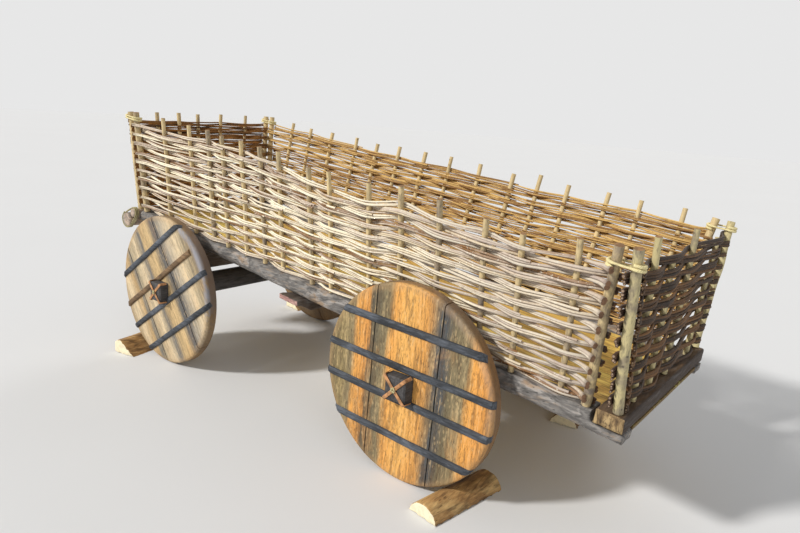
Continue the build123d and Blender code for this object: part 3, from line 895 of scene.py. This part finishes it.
def upright_stakes(name, shades, sizes, seed):
    """The stakes of a wall: slightly crooked poles with cut tops."""
    dice = random.Random(seed)
    stakes = stake_lines(f"{name}_wall_stakes")
    batches = {}
    for number, stake in enumerate(stakes):
        foot, head = stake
        is_post = number in (0, len(stakes) - 1)
        radius = POST_RADIUS if is_post else sizes.stake_radius * dice.uniform(0.9, 1.06)
        path = []
        for step in range(STAKE_STEPS + 1):
            share = step / STAKE_STEPS
            level = foot.z + (head.z - HEAD_ROOM - foot.z) * share
            place = stake_at(stake, level)
            bend = 0 if step in (0, STAKE_STEPS) else STAKE_BEND
            along = place.x + dice.gauss(0, bend)
            across = place.y + dice.gauss(0, bend) * 0.5
            taper = STAKE_TAPER[0] - STAKE_TAPER[1] * share
            path.append((bed_place(along, across, level), radius / POST_RADIUS * taper))
        tone = dice.randrange(STAKE_TONES)
        batches.setdefault(0 if name == "near" and number == 0 else tone, []).append(path)
    piece = toned_tubes(f"{name}_stakes", batches, STAKE_TONES, POST_RADIUS, 3, 4)
    roughen(piece, 0.0004, (45, 45, 12), seed)
    materials = (bark_material(f"{name}_stake_bark", shades),
                 cut_material(f"{name}_stake_tops", paint(150, 112, 72)))
    complete(piece, 50, materials, "wagon_body", "stake_wood", f"{name}_wall_stakes")
    mark_cut_ends(piece)


def rope_turns(name, circles, levels, place, rope):
    """Rope wound round two round timbers: a turn from each level to the next, of three strands."""
    (ax, ay, ar), (bx, by, br) = circles
    heading = math.atan2(by - ay, bx - ax)
    rise = (ar - br) / math.hypot(bx - ax, by - ay)
    steps, clearance = 6, rope * 1.1
    around = []
    for cx, cy, cr, start, sweep in (
            (ax, ay, ar, heading + math.pi / 2 - rise, math.pi + 2 * rise),
            (bx, by, br, heading - math.pi / 2 + rise, math.pi - 2 * rise)):
        reach = cr + clearance
        for step in range(steps + 1):
            angle = start + sweep * step / steps
            around.append((cx + reach * math.cos(angle), cy + reach * math.sin(angle)))
    line = []
    for level, following in zip(levels, levels[1:]):
        for number, (px, py) in enumerate(around):
            share = number / len(around)
            line.append((place(px, py, level + (following - level) * share), 1.0))
    guide = curve_mesh("guide", smooth_curve("guide", [line], 6, dimensions="3D"))
    run = [vertex.co.copy() for vertex in guide.data.vertices]
    bpy.data.objects.remove(guide)
    paths = [[], [], []]
    travelled = 0.0
    for number, point in enumerate(run):
        before, after = run[max(number - 1, 0)], run[min(number + 1, len(run) - 1)]
        travelled += (point - before).length
        forward = (after - before).normalized()
        side = forward.cross(Vector((0.13, 0.21, 0.97))).normalized()
        top = side.cross(forward)
        for strand, path in enumerate(paths):
            angle = 2 * math.pi * (travelled / STRAND_TURN + strand / len(paths))
            offset = (side * math.cos(angle) + top * math.sin(angle)) * rope * STRAND_PLACE
            path.append((point + offset, 1.0))
    return tubes(name, paths, rope * STRAND_RADIUS, resolution=1)


# Wheels: axle, side, turn in degrees, and where the seams of the planks are in millimetres
WHEELS = {
    "rear_near": ("rear", -1, -2.0, (-150.0, 143.0)),
    "rear_far": ("rear", 1, 0.0, (-135.0, 152.0)),
    "front_near": ("front", -1, 34.5, (-185.0, 118.0)),
    "front_far": ("front", 1, 34.5, (-140.0, 140.0)),
}

# Which batten of a front wheel is brown, by side, and how much shorter it is at one end
BROWN_BATTEN = {-1: 2, 1: 1}
BROWN_SHORT = 0.050

# How finely battens and planks are sliced, the rounding of battens and of a wheel's inner edge,
# and how far a batten reaches down past the rounded rim
BAR_STEP = 0.0125
PLANK_STEP = 0.026
BAR_ROUND = 0.0095
INNER_ROUND = 0.006
BAR_REACH = 0.010

# Leather straps: their middle's distance from the wood, from one strap to the next, and half
# their thickness; the knots' loops: half length, half width, lift, and radius of the cord
STRAP_CLEAR = 0.0018
STRAP_LAYER = 0.0022
LEATHER_HALF = 0.0012
KNOT_LOOP = (0.010, 0.0045, 0.002)
KNOT_CORD = 0.0022

# Bands of colour across the planks of each wheel: place, and colour as a screen shows it
OLIVE, ORANGE, YELLOW = (146, 130, 94), (234, 166, 80), (244, 190, 104)
STREAK, BEIGE, GREY = (72, 76, 78), (226, 204, 166), (172, 162, 144)
WHEEL_BANDS = {
    "rear_near": (
        (-0.375, (104, 92, 64)), (-0.30, (150, 132, 88)), (-0.258, OLIVE), (-0.235, ORANGE),
        (-0.182, (214, 148, 72)), (-0.168, (84, 76, 60)), (-0.140, (104, 96, 74)),
        (-0.095, OLIVE), (-0.065, ORANGE), (0.00, (236, 178, 94)), (0.085, (222, 158, 78)),
        (0.116, (140, 116, 84)), (0.132, STREAK), (0.164, STREAK), (0.190, (112, 102, 76)),
        (0.25, OLIVE), (0.275, ORANGE), (0.335, (222, 152, 70)), (0.375, (170, 124, 70))),
    "front_near": (
        (-0.375, (128, 112, 84)), (-0.30, BEIGE), (-0.23, (190, 158, 110)),
        (-0.20, (118, 116, 108)), (-0.17, (170, 156, 128)), (-0.11, BEIGE),
        (-0.05, (104, 104, 102)), (-0.02, (192, 164, 118)), (0.05, (208, 178, 128)),
        (0.095, (96, 96, 94)), (0.125, (86, 86, 86)), (0.16, GREY), (0.24, BEIGE),
        (0.30, (158, 144, 116)), (0.375, (132, 112, 82))),
    "rear_far": (
        (-0.375, (118, 106, 78)), (-0.25, ORANGE), (-0.15, OLIVE), (-0.12, STREAK),
        (-0.08, OLIVE), (0.02, YELLOW), (0.10, (196, 146, 84)), (0.152, (104, 96, 80)),
        (0.22, OLIVE), (0.30, ORANGE), (0.375, (120, 96, 64))),
    "front_far": (
        (-0.375, (130, 114, 86)), (-0.24, BEIGE), (-0.15, (120, 116, 106)),
        (-0.08, (196, 166, 118)), (0.04, BEIGE), (0.11, (112, 110, 106)),
        (0.15, (150, 134, 104)), (0.26, (200, 168, 116)), (0.375, (134, 112, 82))),
}


def wheel_frame(name, turn=None, distance=WHEEL_FACE):
    """Matrix from a wheel's own flat frame, its outer face up, to its place."""
    wheelset, side, own_turn, _ = WHEELS[name]
    tip = math.radians(own_turn if turn is None else turn)
    run = Vector((math.cos(tip), 0, math.sin(tip)))
    out = Vector((0, side, 0))
    matrix = Matrix((run, out.cross(run), out)).transposed().to_4x4()
    matrix.translation = (AXLE_PLACES[wheelset], side * distance, WHEEL_RADIUS)
    return matrix


def round_edges(piece, test, offset, segments):
    """Bevel the edges whose two ends pass a test."""
    for element in (*piece.data.polygons, *piece.data.vertices):
        element.select = False
    places = [vertex.co for vertex in piece.data.vertices]
    for edge in piece.data.edges:
        edge.select = test(*[places[end] for end in edge.vertices])
    with edit_mode(piece, "EDGE"):
        bpy.ops.mesh.bevel(offset=offset, offset_type="OFFSET", segments=segments, profile=0.5,
                           affect="EDGES")


def cut_axle_hole(piece, name, room):
    """Cut the axle's square hole through a piece that lies in its wheel's own frame."""
    bpy.ops.mesh.primitive_cube_add(size=1)
    block = bpy.context.object
    block.scale = (2 * AXLE_HALF + room, 2 * AXLE_HALF + room, 0.2)
    settle(block, wheel_frame(name).inverted() @ wheel_frame(name, 0))
    finish_with(piece, "BOOLEAN", object=block, operation="DIFFERENCE", solver="EXACT")
    bpy.data.objects.remove(block)


def wheel_planks(name, sizes, seed):
    """Three planks cut from a rounded disc, with a square hole for the axle."""
    wheelset, _, _, seams = WHEELS[name]
    edges = (-1.0, *[seam / 1000 for seam in seams], 1.0)
    half_gap = sizes.plank_gap / 2
    back = -WHEEL_THICKNESS + 0.0001
    planks = []
    for number, (low, high) in enumerate(zip(edges, edges[1:])):
        bpy.ops.mesh.primitive_cylinder_add(
            vertices=120, radius=WHEEL_RADIUS, depth=WHEEL_THICKNESS,
            location=(0, 0, -WHEEL_THICKNESS / 2))
        plank = settle(bpy.context.object)
        round_edges(plank, lambda a, b: min(a.z, b.z) > -0.0001, sizes.rim_round, 5)
        round_edges(plank, lambda a, b: max(a.z, b.z) < back, INNER_ROUND, 2)
        if number > 0:
            cut(plank, (low + half_gap, 0, 0), (-1, 0, 0))
        if number < len(edges) - 2:
            cut(plank, (high - half_gap, 0, 0), (1, 0, 0))
        if low < 0 < high:
            cut_axle_hole(plank, name, 0.001)
        count = int(WHEEL_RADIUS / PLANK_STEP)
        for step in range(-count, count + 1):
            for axis in ((1, 0, 0), (0, 1, 0)):
                spot = [step * PLANK_STEP * share for share in axis]
                cut(plank, spot, axis, keep_below=False, fill=False)
        roughen(plank, 0.0022, (9, 4, 9), seed + number)
        planks.append(plank)
    wheel = settle(joined(planks, f"{name}_disc"), wheel_frame(name))
    is_front = wheelset == "front"
    complete(wheel, 35, [wheel_material(f"{name}_planks", name, float(is_front))],
             f"{wheelset}_wheelset", "front_wheel_wood" if is_front else "wheel_wood",
             f"{name}_wheel")


def over_rim(spot, rounding):
    """Lay a point that stands out past a wheel's face down over its rounded rim."""
    distance = math.hypot(spot[0], spot[1])
    past = distance - (WHEEL_RADIUS - rounding)
    if past <= 0:
        return spot
    turn = min(past / rounding, math.pi / 2)
    thinning = max(0.0, 1 - past / (rounding * 1.3))
    height = spot[2] if spot[2] < 0 else spot[2] * thinning + 0.0004
    reach = WHEEL_RADIUS - rounding + rounding * math.sin(turn) + height * math.sin(turn)
    beyond = max(0.0, past - rounding * math.pi / 2)
    drop = rounding * (1 - math.cos(turn)) + beyond - height * math.cos(turn)
    return np.array((spot[0] * reach / distance, spot[1] * reach / distance, -drop))


def wheel_bars(name, sizes, seed):
    """Four rounded battens across the planks, bent down over the rim at both ends."""
    wheelset, side, _, _ = WHEELS[name]
    dice = random.Random(seed)
    top = sizes.batten_rise - 0.001
    reach = WHEEL_RADIUS + sizes.rim_round * 0.57 + BAR_REACH
    bars = []
    for number, offset in enumerate(BATTEN_OFFSETS):
        is_brown = wheelset == "front" and number == BROWN_BATTEN[side]
        half = math.sqrt(reach ** 2 - offset ** 2)
        width = sizes.batten_width * dice.uniform(0.94, 1.02)
        middle = (0, offset, (sizes.batten_rise - 0.004) / 2)
        bpy.ops.mesh.primitive_cube_add(size=1, location=middle)
        bar = bpy.context.object
        bar.scale = (2 * half, width, sizes.batten_rise + 0.004)
        settle(bar)
        round_edges(bar, lambda a, b: min(a.z, b.z) > top and abs(a.x - b.x) > 0.1, BAR_ROUND, 4)
        count = int(half / BAR_STEP)
        for step in range(-count, count + 1):
            cut(bar, (step * BAR_STEP, 0, 0), (1, 0, 0), keep_below=False, fill=False)
        if is_brown:
            cut(bar, (half - BROWN_SHORT, 0, 0), (1, 0, 0))
        if abs(offset) < 2 * AXLE_HALF:
            cut_axle_hole(bar, name, 0.002)
        places, _ = points_of(bar)
        places[:, 1] += noise_at(places * (1, 0, 0), (5, 1, 1), seed + number) * 0.0022
        place_points(bar, np.array([over_rim(spot, sizes.rim_round) for spot in places]))
        roughen(bar, 0.0012, (24, 60, 60), seed + number)
        dress(bar, bpy.data.materials["brown_batten_grain" if is_brown else "batten_grain"])
        bars.append(bar)
    piece = settle(joined(bars, f"{name}_bars"), wheel_frame(name))
    complete(piece, 50, None, f"{wheelset}_wheelset", "batten_wood", f"{name}_battens")


def end_straps(name, sizes):
    """Two leather straps crossed over an axle end, with a cord knot in their middle."""
    body = f"{WHEELS[name][0]}_wheelset"
    side_line = AXLE_HALF * math.sqrt(2) + STRAP_CLEAR
    straps = []
    for number, turn in enumerate((45, 135)):
        lift = AXLE_PROUD + STRAP_CLEAR + STRAP_LAYER * number
        half = [(side_line + 0.002, 0.012), (side_line, 0.020), (side_line, AXLE_PROUD - 0.008),
                (side_line - 0.001, lift), (side_line - 0.010, lift),
                (side_line - 0.030, lift + 0.0006)]
        outline = half + [(0.0, lift + 0.001)] + [(-x, y) for x, y in reversed(half)]
        curve = smooth_curve("strap", [[((x, y, 0), 1.0) for x, y in outline]], 4, dimensions="2D",
                             fill_mode="NONE", extrude=sizes.strap_width / 2 - 0.001,
                             bevel_depth=LEATHER_HALF, bevel_resolution=1)
        face = wheel_frame(name, turn)
        run, _, out = (face.col[axis].to_3d() for axis in range(3))
        plane = Matrix((run, out, run.cross(out))).transposed().to_4x4()
        plane.translation = face.translation
        straps.append(merge(settle(curve_mesh("strap", curve), plane), close=True))
    complete(joined(straps, f"{name}_leather"), 50, [bpy.data.materials["strap_leather"]],
             body, "leather", f"{name}_straps")
    face = wheel_frame(name, 0, WHEEL_FACE + AXLE_PROUD + 0.008)
    half_length, half_width, lift = KNOT_LOOP
    loops = []
    for turn in (20, 80, 140):
        path = []
        for step in range(9):
            angle = 2 * math.pi * step / 8
            spot = Vector((half_length * math.cos(angle), half_width * math.sin(angle),
                           lift * math.sin(2 * angle + turn)))
            spot.rotate(Matrix.Rotation(math.radians(turn), 3, "Z"))
            path.append((face @ spot, 1.0))
        loops.append(path)
    complete(tubes(f"{name}_knot", loops, KNOT_CORD, 2, 4), 60,
             [bpy.data.materials["knot_cord"]], body, "rope")


def sizes_and_colours(context):
    """The wagon's sizes, and its colours by name."""
    shades = context.scene.wagon_colours
    names = WagonColours.__annotations__
    return context.scene.wagon_sizes, {name: tuple(getattr(shades, name)) for name in names}


# Operators, one for each group of pieces

class WAGON_OT_walls(bpy.types.Operator):
    """Weave the four wicker walls"""

    bl_idname = "wagon.walls"
    bl_label = "Wicker walls"

    def execute(self, context):
        sizes, shades = sizes_and_colours(context)
        cream, pink, gold = shades["rod_cream"], shades["rod_pink"], shades["rod_gold"]
        brown, dark = shades["rod_brown"], shades["rod_dark"]
        walls = {
            "near": ((brown, pink, shades["rod_tan"], cream, pink, cream, tint(cream, 1.1)),
                     paint(134, 100, 74)),
            "far": ((brown, gold, brown, gold, tint(gold, 1.15)), paint(196, 154, 104)),
            "front": ((dark, brown, paint(178, 122, 58), brown, paint(200, 148, 80)),
                      paint(170, 134, 92)),
            "rear": ((tint(dark, 0.4), tint(dark, 0.8), tint(brown, 0.7), tint(dark, 0.6),
                      tint(brown, 0.9)), paint(172, 146, 122)),
        }
        for seed, (name, (rod_shades, cut_shade)) in enumerate(walls.items(), start=11):
            weave_wall(name, rod_shades, sizes, seed, cut_shade)
        return {"FINISHED"}


class WAGON_OT_stakes(bpy.types.Operator):
    """Set the upright stakes of the four walls"""

    bl_idname = "wagon.stakes"
    bl_label = "Stakes"

    def execute(self, context):
        sizes, shades = sizes_and_colours(context)
        grey, tan, green = shades["stake_grey"], shades["stake_tan"], shades["post_green"]
        barks = {
            "near": (grey, tan, tint(tan, 1.3)),
            "far": (tan, tint(tan, 1.15), tint(tan, 1.35)),
            "front": (grey, tan, tint(tan, 1.2)),
            "rear": (grey, green, tint(green, 1.15)),
        }
        for seed, (name, bark) in enumerate(barks.items(), start=31):
            upright_stakes(name, bark, sizes, seed)
        return {"FINISHED"}


class WAGON_OT_ropes(bpy.types.Operator):
    """Tie the corner posts and the front logs"""

    bl_idname = "wagon.ropes"
    bl_label = "Ropes"

    def execute(self, context):
        sizes, shades = sizes_and_colours(context)
        near, far, rear, front = (
            stake_lines(f"{wall}_wall_stakes") for wall in ("near", "far", "rear", "front"))
        corners = ((near[0], rear[0]), (far[0], rear[-1]),
                   (near[-1], front[0]), (far[-1], front[-1]))
        ties = []
        for number, posts in enumerate(corners):
            spots = [stake_at(post, TIE_LEVEL) for post in posts]
            circles = [(spot.x, spot.y, POST_RADIUS + 0.001) for spot in spots]
            levels = [TIE_LEVEL - TIE_PITCH + TIE_PITCH * turn for turn in range(3)]
            ties.append(rope_turns(f"tie_{number}", circles, levels, bed_place, sizes.rope_radius))
        complete(joined(ties, "corner_rope"), 60, [rope_material("tying_rope", shades["rope"])],
                 "wagon_body", "rope", "corner_ties")
        lowest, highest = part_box("front_crosspiece")
        bar = ((lowest.x + highest.x) / 2, (lowest.z + highest.z) / 2, (highest.x - lowest.x) / 2)
        lashings = []
        for side in (-1, 1):
            levels = [side * LASHING_LINE + LASHING_PITCH * (turn - 1.5) for turn in range(4)]
            lashings.append(rope_turns("lashing", (DRAW_LOG, bar), levels,
                                       lambda x, z, y: Vector((x, y, z)), sizes.rope_radius * 0.7))
        complete(joined(lashings, "front_rope"), 60,
                 [rope_material("lashing_rope", tint(shades["rope"], 0.5))],
                 "wagon_body", "rope", "front_lashings")
        return {"FINISHED"}


class WAGON_OT_wheels(bpy.types.Operator):
    """Build the plank wheels, their battens and the straps over the axle ends"""

    bl_idname = "wagon.wheels"
    bl_label = "Wheels"

    def execute(self, context):
        sizes, shades = sizes_and_colours(context)
        batten, brown = shades["batten"], paint(124, 98, 68)
        # The lightest shade of the blue grey battens is partly their paler wood and partly a
        # painted highlight.
        grains = {"batten_grain": (tint(batten, 0.6), tint(batten, 1.2), tint(batten, 2.8)),
                  "brown_batten_grain": (tint(brown, 0.6), brown, tint(brown, 1.3))}
        for name, levels in grains.items():
            wood_material(name, levels, (0.15, 1, 1), 9.0, 120.0, 0.4)
        leather_material("strap_leather", shades["leather"])
        rope_material("knot_cord", tint(shades["rope"], 0.6))
        for seed, name in enumerate(WHEELS, start=51):
            wheel_planks(name, sizes, seed)
            wheel_bars(name, sizes, seed + 20)
            end_straps(name, sizes)
        return {"FINISHED"}


# Timbers: node, kind of wood, voxel size, axis of the grain, how deeply hewn
TIMBERS = (
    ("near_side_rail", "rail", 0.0075, "x", 1.0),
    ("far_side_rail", "rail", 0.0090, "x", 1.0),
    ("rear_crossbeam", "crossbeam", 0.0060, "y", 0.8),
    ("middle_underbeam", "underbeam", 0.0060, "y", 0.7),
    ("front_bolster", "underside", 0.0080, "y", 0.9),
    ("rear_saddles", "underside", 0.0070, "x", 0.6),
    ("front_saddles", "underside", 0.0070, "x", 0.6),
    ("front_draw_log", "log", 0.0065, "y", 0.8),
    ("front_crosspiece", "log", 0.0065, "y", 0.6),
)


def thin_ends(piece):
    """Hew a beam's ends thinner from below, past the rails."""
    rail_face, full_past, top, bottom, lift, thinning = 0.405, 0.060, 0.517, 0.467, 0.011, 0.024
    places, _ = points_of(piece)
    reach = np.clip((np.abs(places[:, 1]) - rail_face) / full_past, 0, 1)
    share = np.clip((top - places @ np.array(UPWARD)) / (top - bottom), 0, 1)
    places[:, 2] += reach * (lift + share * thinning)
    place_points(piece, places)


class WAGON_OT_timbers(bpy.types.Operator):
    """Hew the rails, beams, saddles and front logs"""

    bl_idname = "wagon.timbers"
    bl_label = "Hewn timbers"

    def execute(self, context):
        sizes, shades = sizes_and_colours(context)
        grey, ochre, dark = (shades[f"timber_{tone}"] for tone in ("grey", "ochre", "dark"))
        woods = {
            "rail_wood": ((tint(grey, 0.45), tint(grey, 1.1), tint(grey, 0.6), tint(grey, 1.6),
                           paint(156, 130, 102)), (0.22, 1, 1), 11.0, 70.0, 0.8),
            # Painted shade: the crossbeam's colours are darkened for its shaded long face, and its
            # rear part gets a darker painted shadow.
            "crossbeam_wood": ((tint(ochre, 0.22), tint(ochre, 0.38), tint(grey, 0.45)),
                               (1, 0.12, 1), 6.0, 70.0, 0.6, (1.402, 1.411, paint(46, 34, 28))),
            "underbeam_wood": ((tint(dark, 0.9), tint(dark, 1.6), tint(grey, 0.9)),
                               (1, 0.15, 1), 6.0, 70.0, 0.6),
            "underside_wood": ((dark, tint(dark, 1.6), tint(grey, 0.8)),
                               (1, 0.15, 1), 6.0, 70.0, 0.6),
            "log_wood": ((tint(grey, 0.75), paint(186, 164, 146), paint(214, 196, 170)),
                         (1, 0.12, 1), 8.0, 80.0, 0.5),
            "crossbeam_ends": ((paint(84, 64, 44), paint(142, 116, 78), paint(178, 152, 108)),
                               (1, 1, 0.3), 30.0, 110.0, 0.9),
            "underbeam_ends": ((paint(128, 92, 88), paint(170, 128, 120), paint(196, 160, 148)),
                               (0.3, 1, 1), 14.0, 90.0, 0.5),
        }
        woods = {name: wood_material(name, *look) for name, look in woods.items()}
        for seed, (node, kind, voxel, axis, hewn) in enumerate(TIMBERS, start=81):
            piece = shape_copy(f"{node}_hewn", node, voxel)
            if node == "middle_underbeam":
                thin_ends(piece)
            scale, dent_scale = (4, 26, 26), (13, 30, 30)
            if axis == "y":
                scale, dent_scale = (26, 4, 26), (30, 13, 30)
            depth = sizes.hewn_depth * hewn
            roughen(piece, depth, scale, seed, depth, dent_scale)
            ends = [woods[f"{kind}_ends"]] if f"{kind}_ends" in woods else []
            complete(piece, 60, [woods[f"{kind}_wood"], *ends], "wagon_body", "hewn_wood", node)
            if ends:
                mark_end_grain(piece, 0.8, 0.43)
        return {"FINISHED"}


class WAGON_OT_floor(bpy.types.Operator):
    """Finish the floor planks and the axles"""

    bl_idname = "wagon.floor"
    bl_label = "Floor and axles"

    def execute(self, context):
        _, shades = sizes_and_colours(context)
        boards, axle = shades["floor_wood"], shades["axle"]
        # The planks' rear ends, below the crossbeam, get a painted shadow.
        plank = wood_material("floor_boards", (tint(boards, 0.6), boards, tint(boards, 1.3)),
                              (0.08, 1, 1), 4.0, 60.0, 0.5, (1.312, 1.318, paint(44, 34, 28)))
        turned = wood_material("axle_wood", (tint(axle, 0.5), axle, tint(axle, 1.5)), (1, 0.15, 1),
                               10.0, 90.0, 0.5)
        for number in (1, 2, 3):
            dress(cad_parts[f"floor_plank_{number}"], plank)
        for wheelset in AXLE_PLACES:
            dress(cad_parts[f"{wheelset}_axle"], turned)
        return {"FINISHED"}


class WAGON_OT_chocks(bpy.types.Operator):
    """Lay the split log and wedge chocks by the wheels"""

    bl_idname = "wagon.chocks"
    bl_label = "Chocks"

    def execute(self, context):
        piece = shape_copy("chock_logs", "wheel_chocks", 0.0060)
        roughen(piece, 0.003, (20, 6, 20), 131, 0.002, (30, 12, 30))
        places, _ = points_of(piece)
        places[:, 2] = np.maximum(places[:, 2], 0.0)
        place_points(piece, places)
        bark_shades = (paint(104, 76, 46), paint(176, 134, 82), paint(222, 188, 128))
        materials = (wood_material("chock_bark", bark_shades, (1, 0.14, 1), 7.0, 60.0, 0.6),
                     cut_material("chock_ends", paint(246, 234, 200), 0.3))
        complete(piece, 40, materials, "wagon_body", "chock_wood", "wheel_chocks")
        mark_end_grain(piece, 0.72)
        return {"FINISHED"}


class WAGON_OT_stage(bpy.types.Operator):
    """Set up the studio floor, the lamps and the camera"""

    bl_idname = "wagon.stage"
    bl_label = "Stage"

    def execute(self, context):
        _, shades = sizes_and_colours(context)
        scene = context.scene
        bpy.ops.mesh.primitive_plane_add(size=80)
        ground = give_name(bpy.context.object, "studio_floor")
        board = Board("studio_floor", shades["stage"], roughness=0.9)
        board.coat(board.noise(board.place(), 0.6, 2.0), tint(shades["stage"], 0.97))
        dress(ground, board.finish())
        scene.world = scene.world or bpy.data.worlds.new("studio")
        scene.world.use_nodes = True
        sky = Nodes(scene.world.node_tree)
        camera_ray, glossy_ray, transmission_ray = (
            sky.add("ShaderNodeLightPath", output=f"Is {kind} Ray")
            for kind in ("Camera", "Glossy", "Transmission"))
        seen = camera_ray.maths("MAXIMUM", camera_ray, glossy_ray)
        seen = seen.maths("MAXIMUM", seen, transmission_ray)
        background = sky.tree.nodes["Background"]
        background.inputs["Color"].default_value = (1.0, 1.0, 1.0, 1.0)
        sky.plug(background.inputs["Strength"], sky.add("ShaderNodeMapRange", {}, {
            "Value": seen, "To Min": SKY_LIGHT, "To Max": SKY_SEEN}))
        for name, (source, strength, spread, tone) in LAMPS.items():
            bpy.ops.object.light_add(type="SUN", location=Vector(source) * 5)
            lamp = bpy.context.object
            lamp.name = name
            lamp.data.energy = strength
            lamp.data.angle = math.radians(spread)
            lamp.data.color = tone
            lamp.rotation_euler = Vector(source).to_track_quat("Z", "Y").to_euler()
        eye = bpy.data.cameras.new("photo_view")
        eye.sensor_width = 36.0
        eye.lens = CAMERA_LENS
        eye.clip_end = 200
        camera = add_to_scene("photo_view", eye)
        matrix = Matrix((CAMERA_RIGHT, -CAMERA_DOWN, -CAMERA_FORWARD)).transposed().to_4x4()
        matrix.translation = CAMERA_PLACE
        camera.matrix_world = matrix
        scene.camera = camera
        scene.view_settings.view_transform = "Standard"
        return {"FINISHED"}


class WAGON_PT_panel(bpy.types.Panel):
    """Sidebar panel that lists the wagon's groups of pieces"""

    bl_label = "Wicker ox wagon"
    bl_space_type = "VIEW_3D"
    bl_region_type = "UI"
    bl_category = "Wagon"

    def draw(self, context):
        for operator in OPERATORS:
            self.layout.operator(operator.bl_idname)
        for group in (context.scene.wagon_sizes, context.scene.wagon_colours):
            box = self.layout.box()
            for name in group.__annotations__:
                box.prop(group, name)


OPERATORS = (WAGON_OT_stage, WAGON_OT_walls, WAGON_OT_stakes, WAGON_OT_ropes, WAGON_OT_wheels,
             WAGON_OT_timbers, WAGON_OT_floor, WAGON_OT_chocks)
CLASSES = (WagonSizes, WagonColours, *OPERATORS, WAGON_PT_panel)


def register():
    for item in CLASSES:
        bpy.utils.register_class(item)
    bpy.types.Scene.wagon_sizes = PointerProperty(type=WagonSizes)
    bpy.types.Scene.wagon_colours = PointerProperty(type=WagonColours)


def unregister():
    del bpy.types.Scene.wagon_sizes
    del bpy.types.Scene.wagon_colours
    for item in reversed(CLASSES):
        bpy.utils.unregister_class(item)


def main():
    register()
    bpy.ops.wagon.stage()
    bpy.ops.wagon.walls()
    bpy.ops.wagon.stakes()
    bpy.ops.wagon.ropes()
    bpy.ops.wagon.wheels()
    bpy.ops.wagon.timbers()
    bpy.ops.wagon.floor()
    bpy.ops.wagon.chocks()


if __name__ == "__main__":
    main()
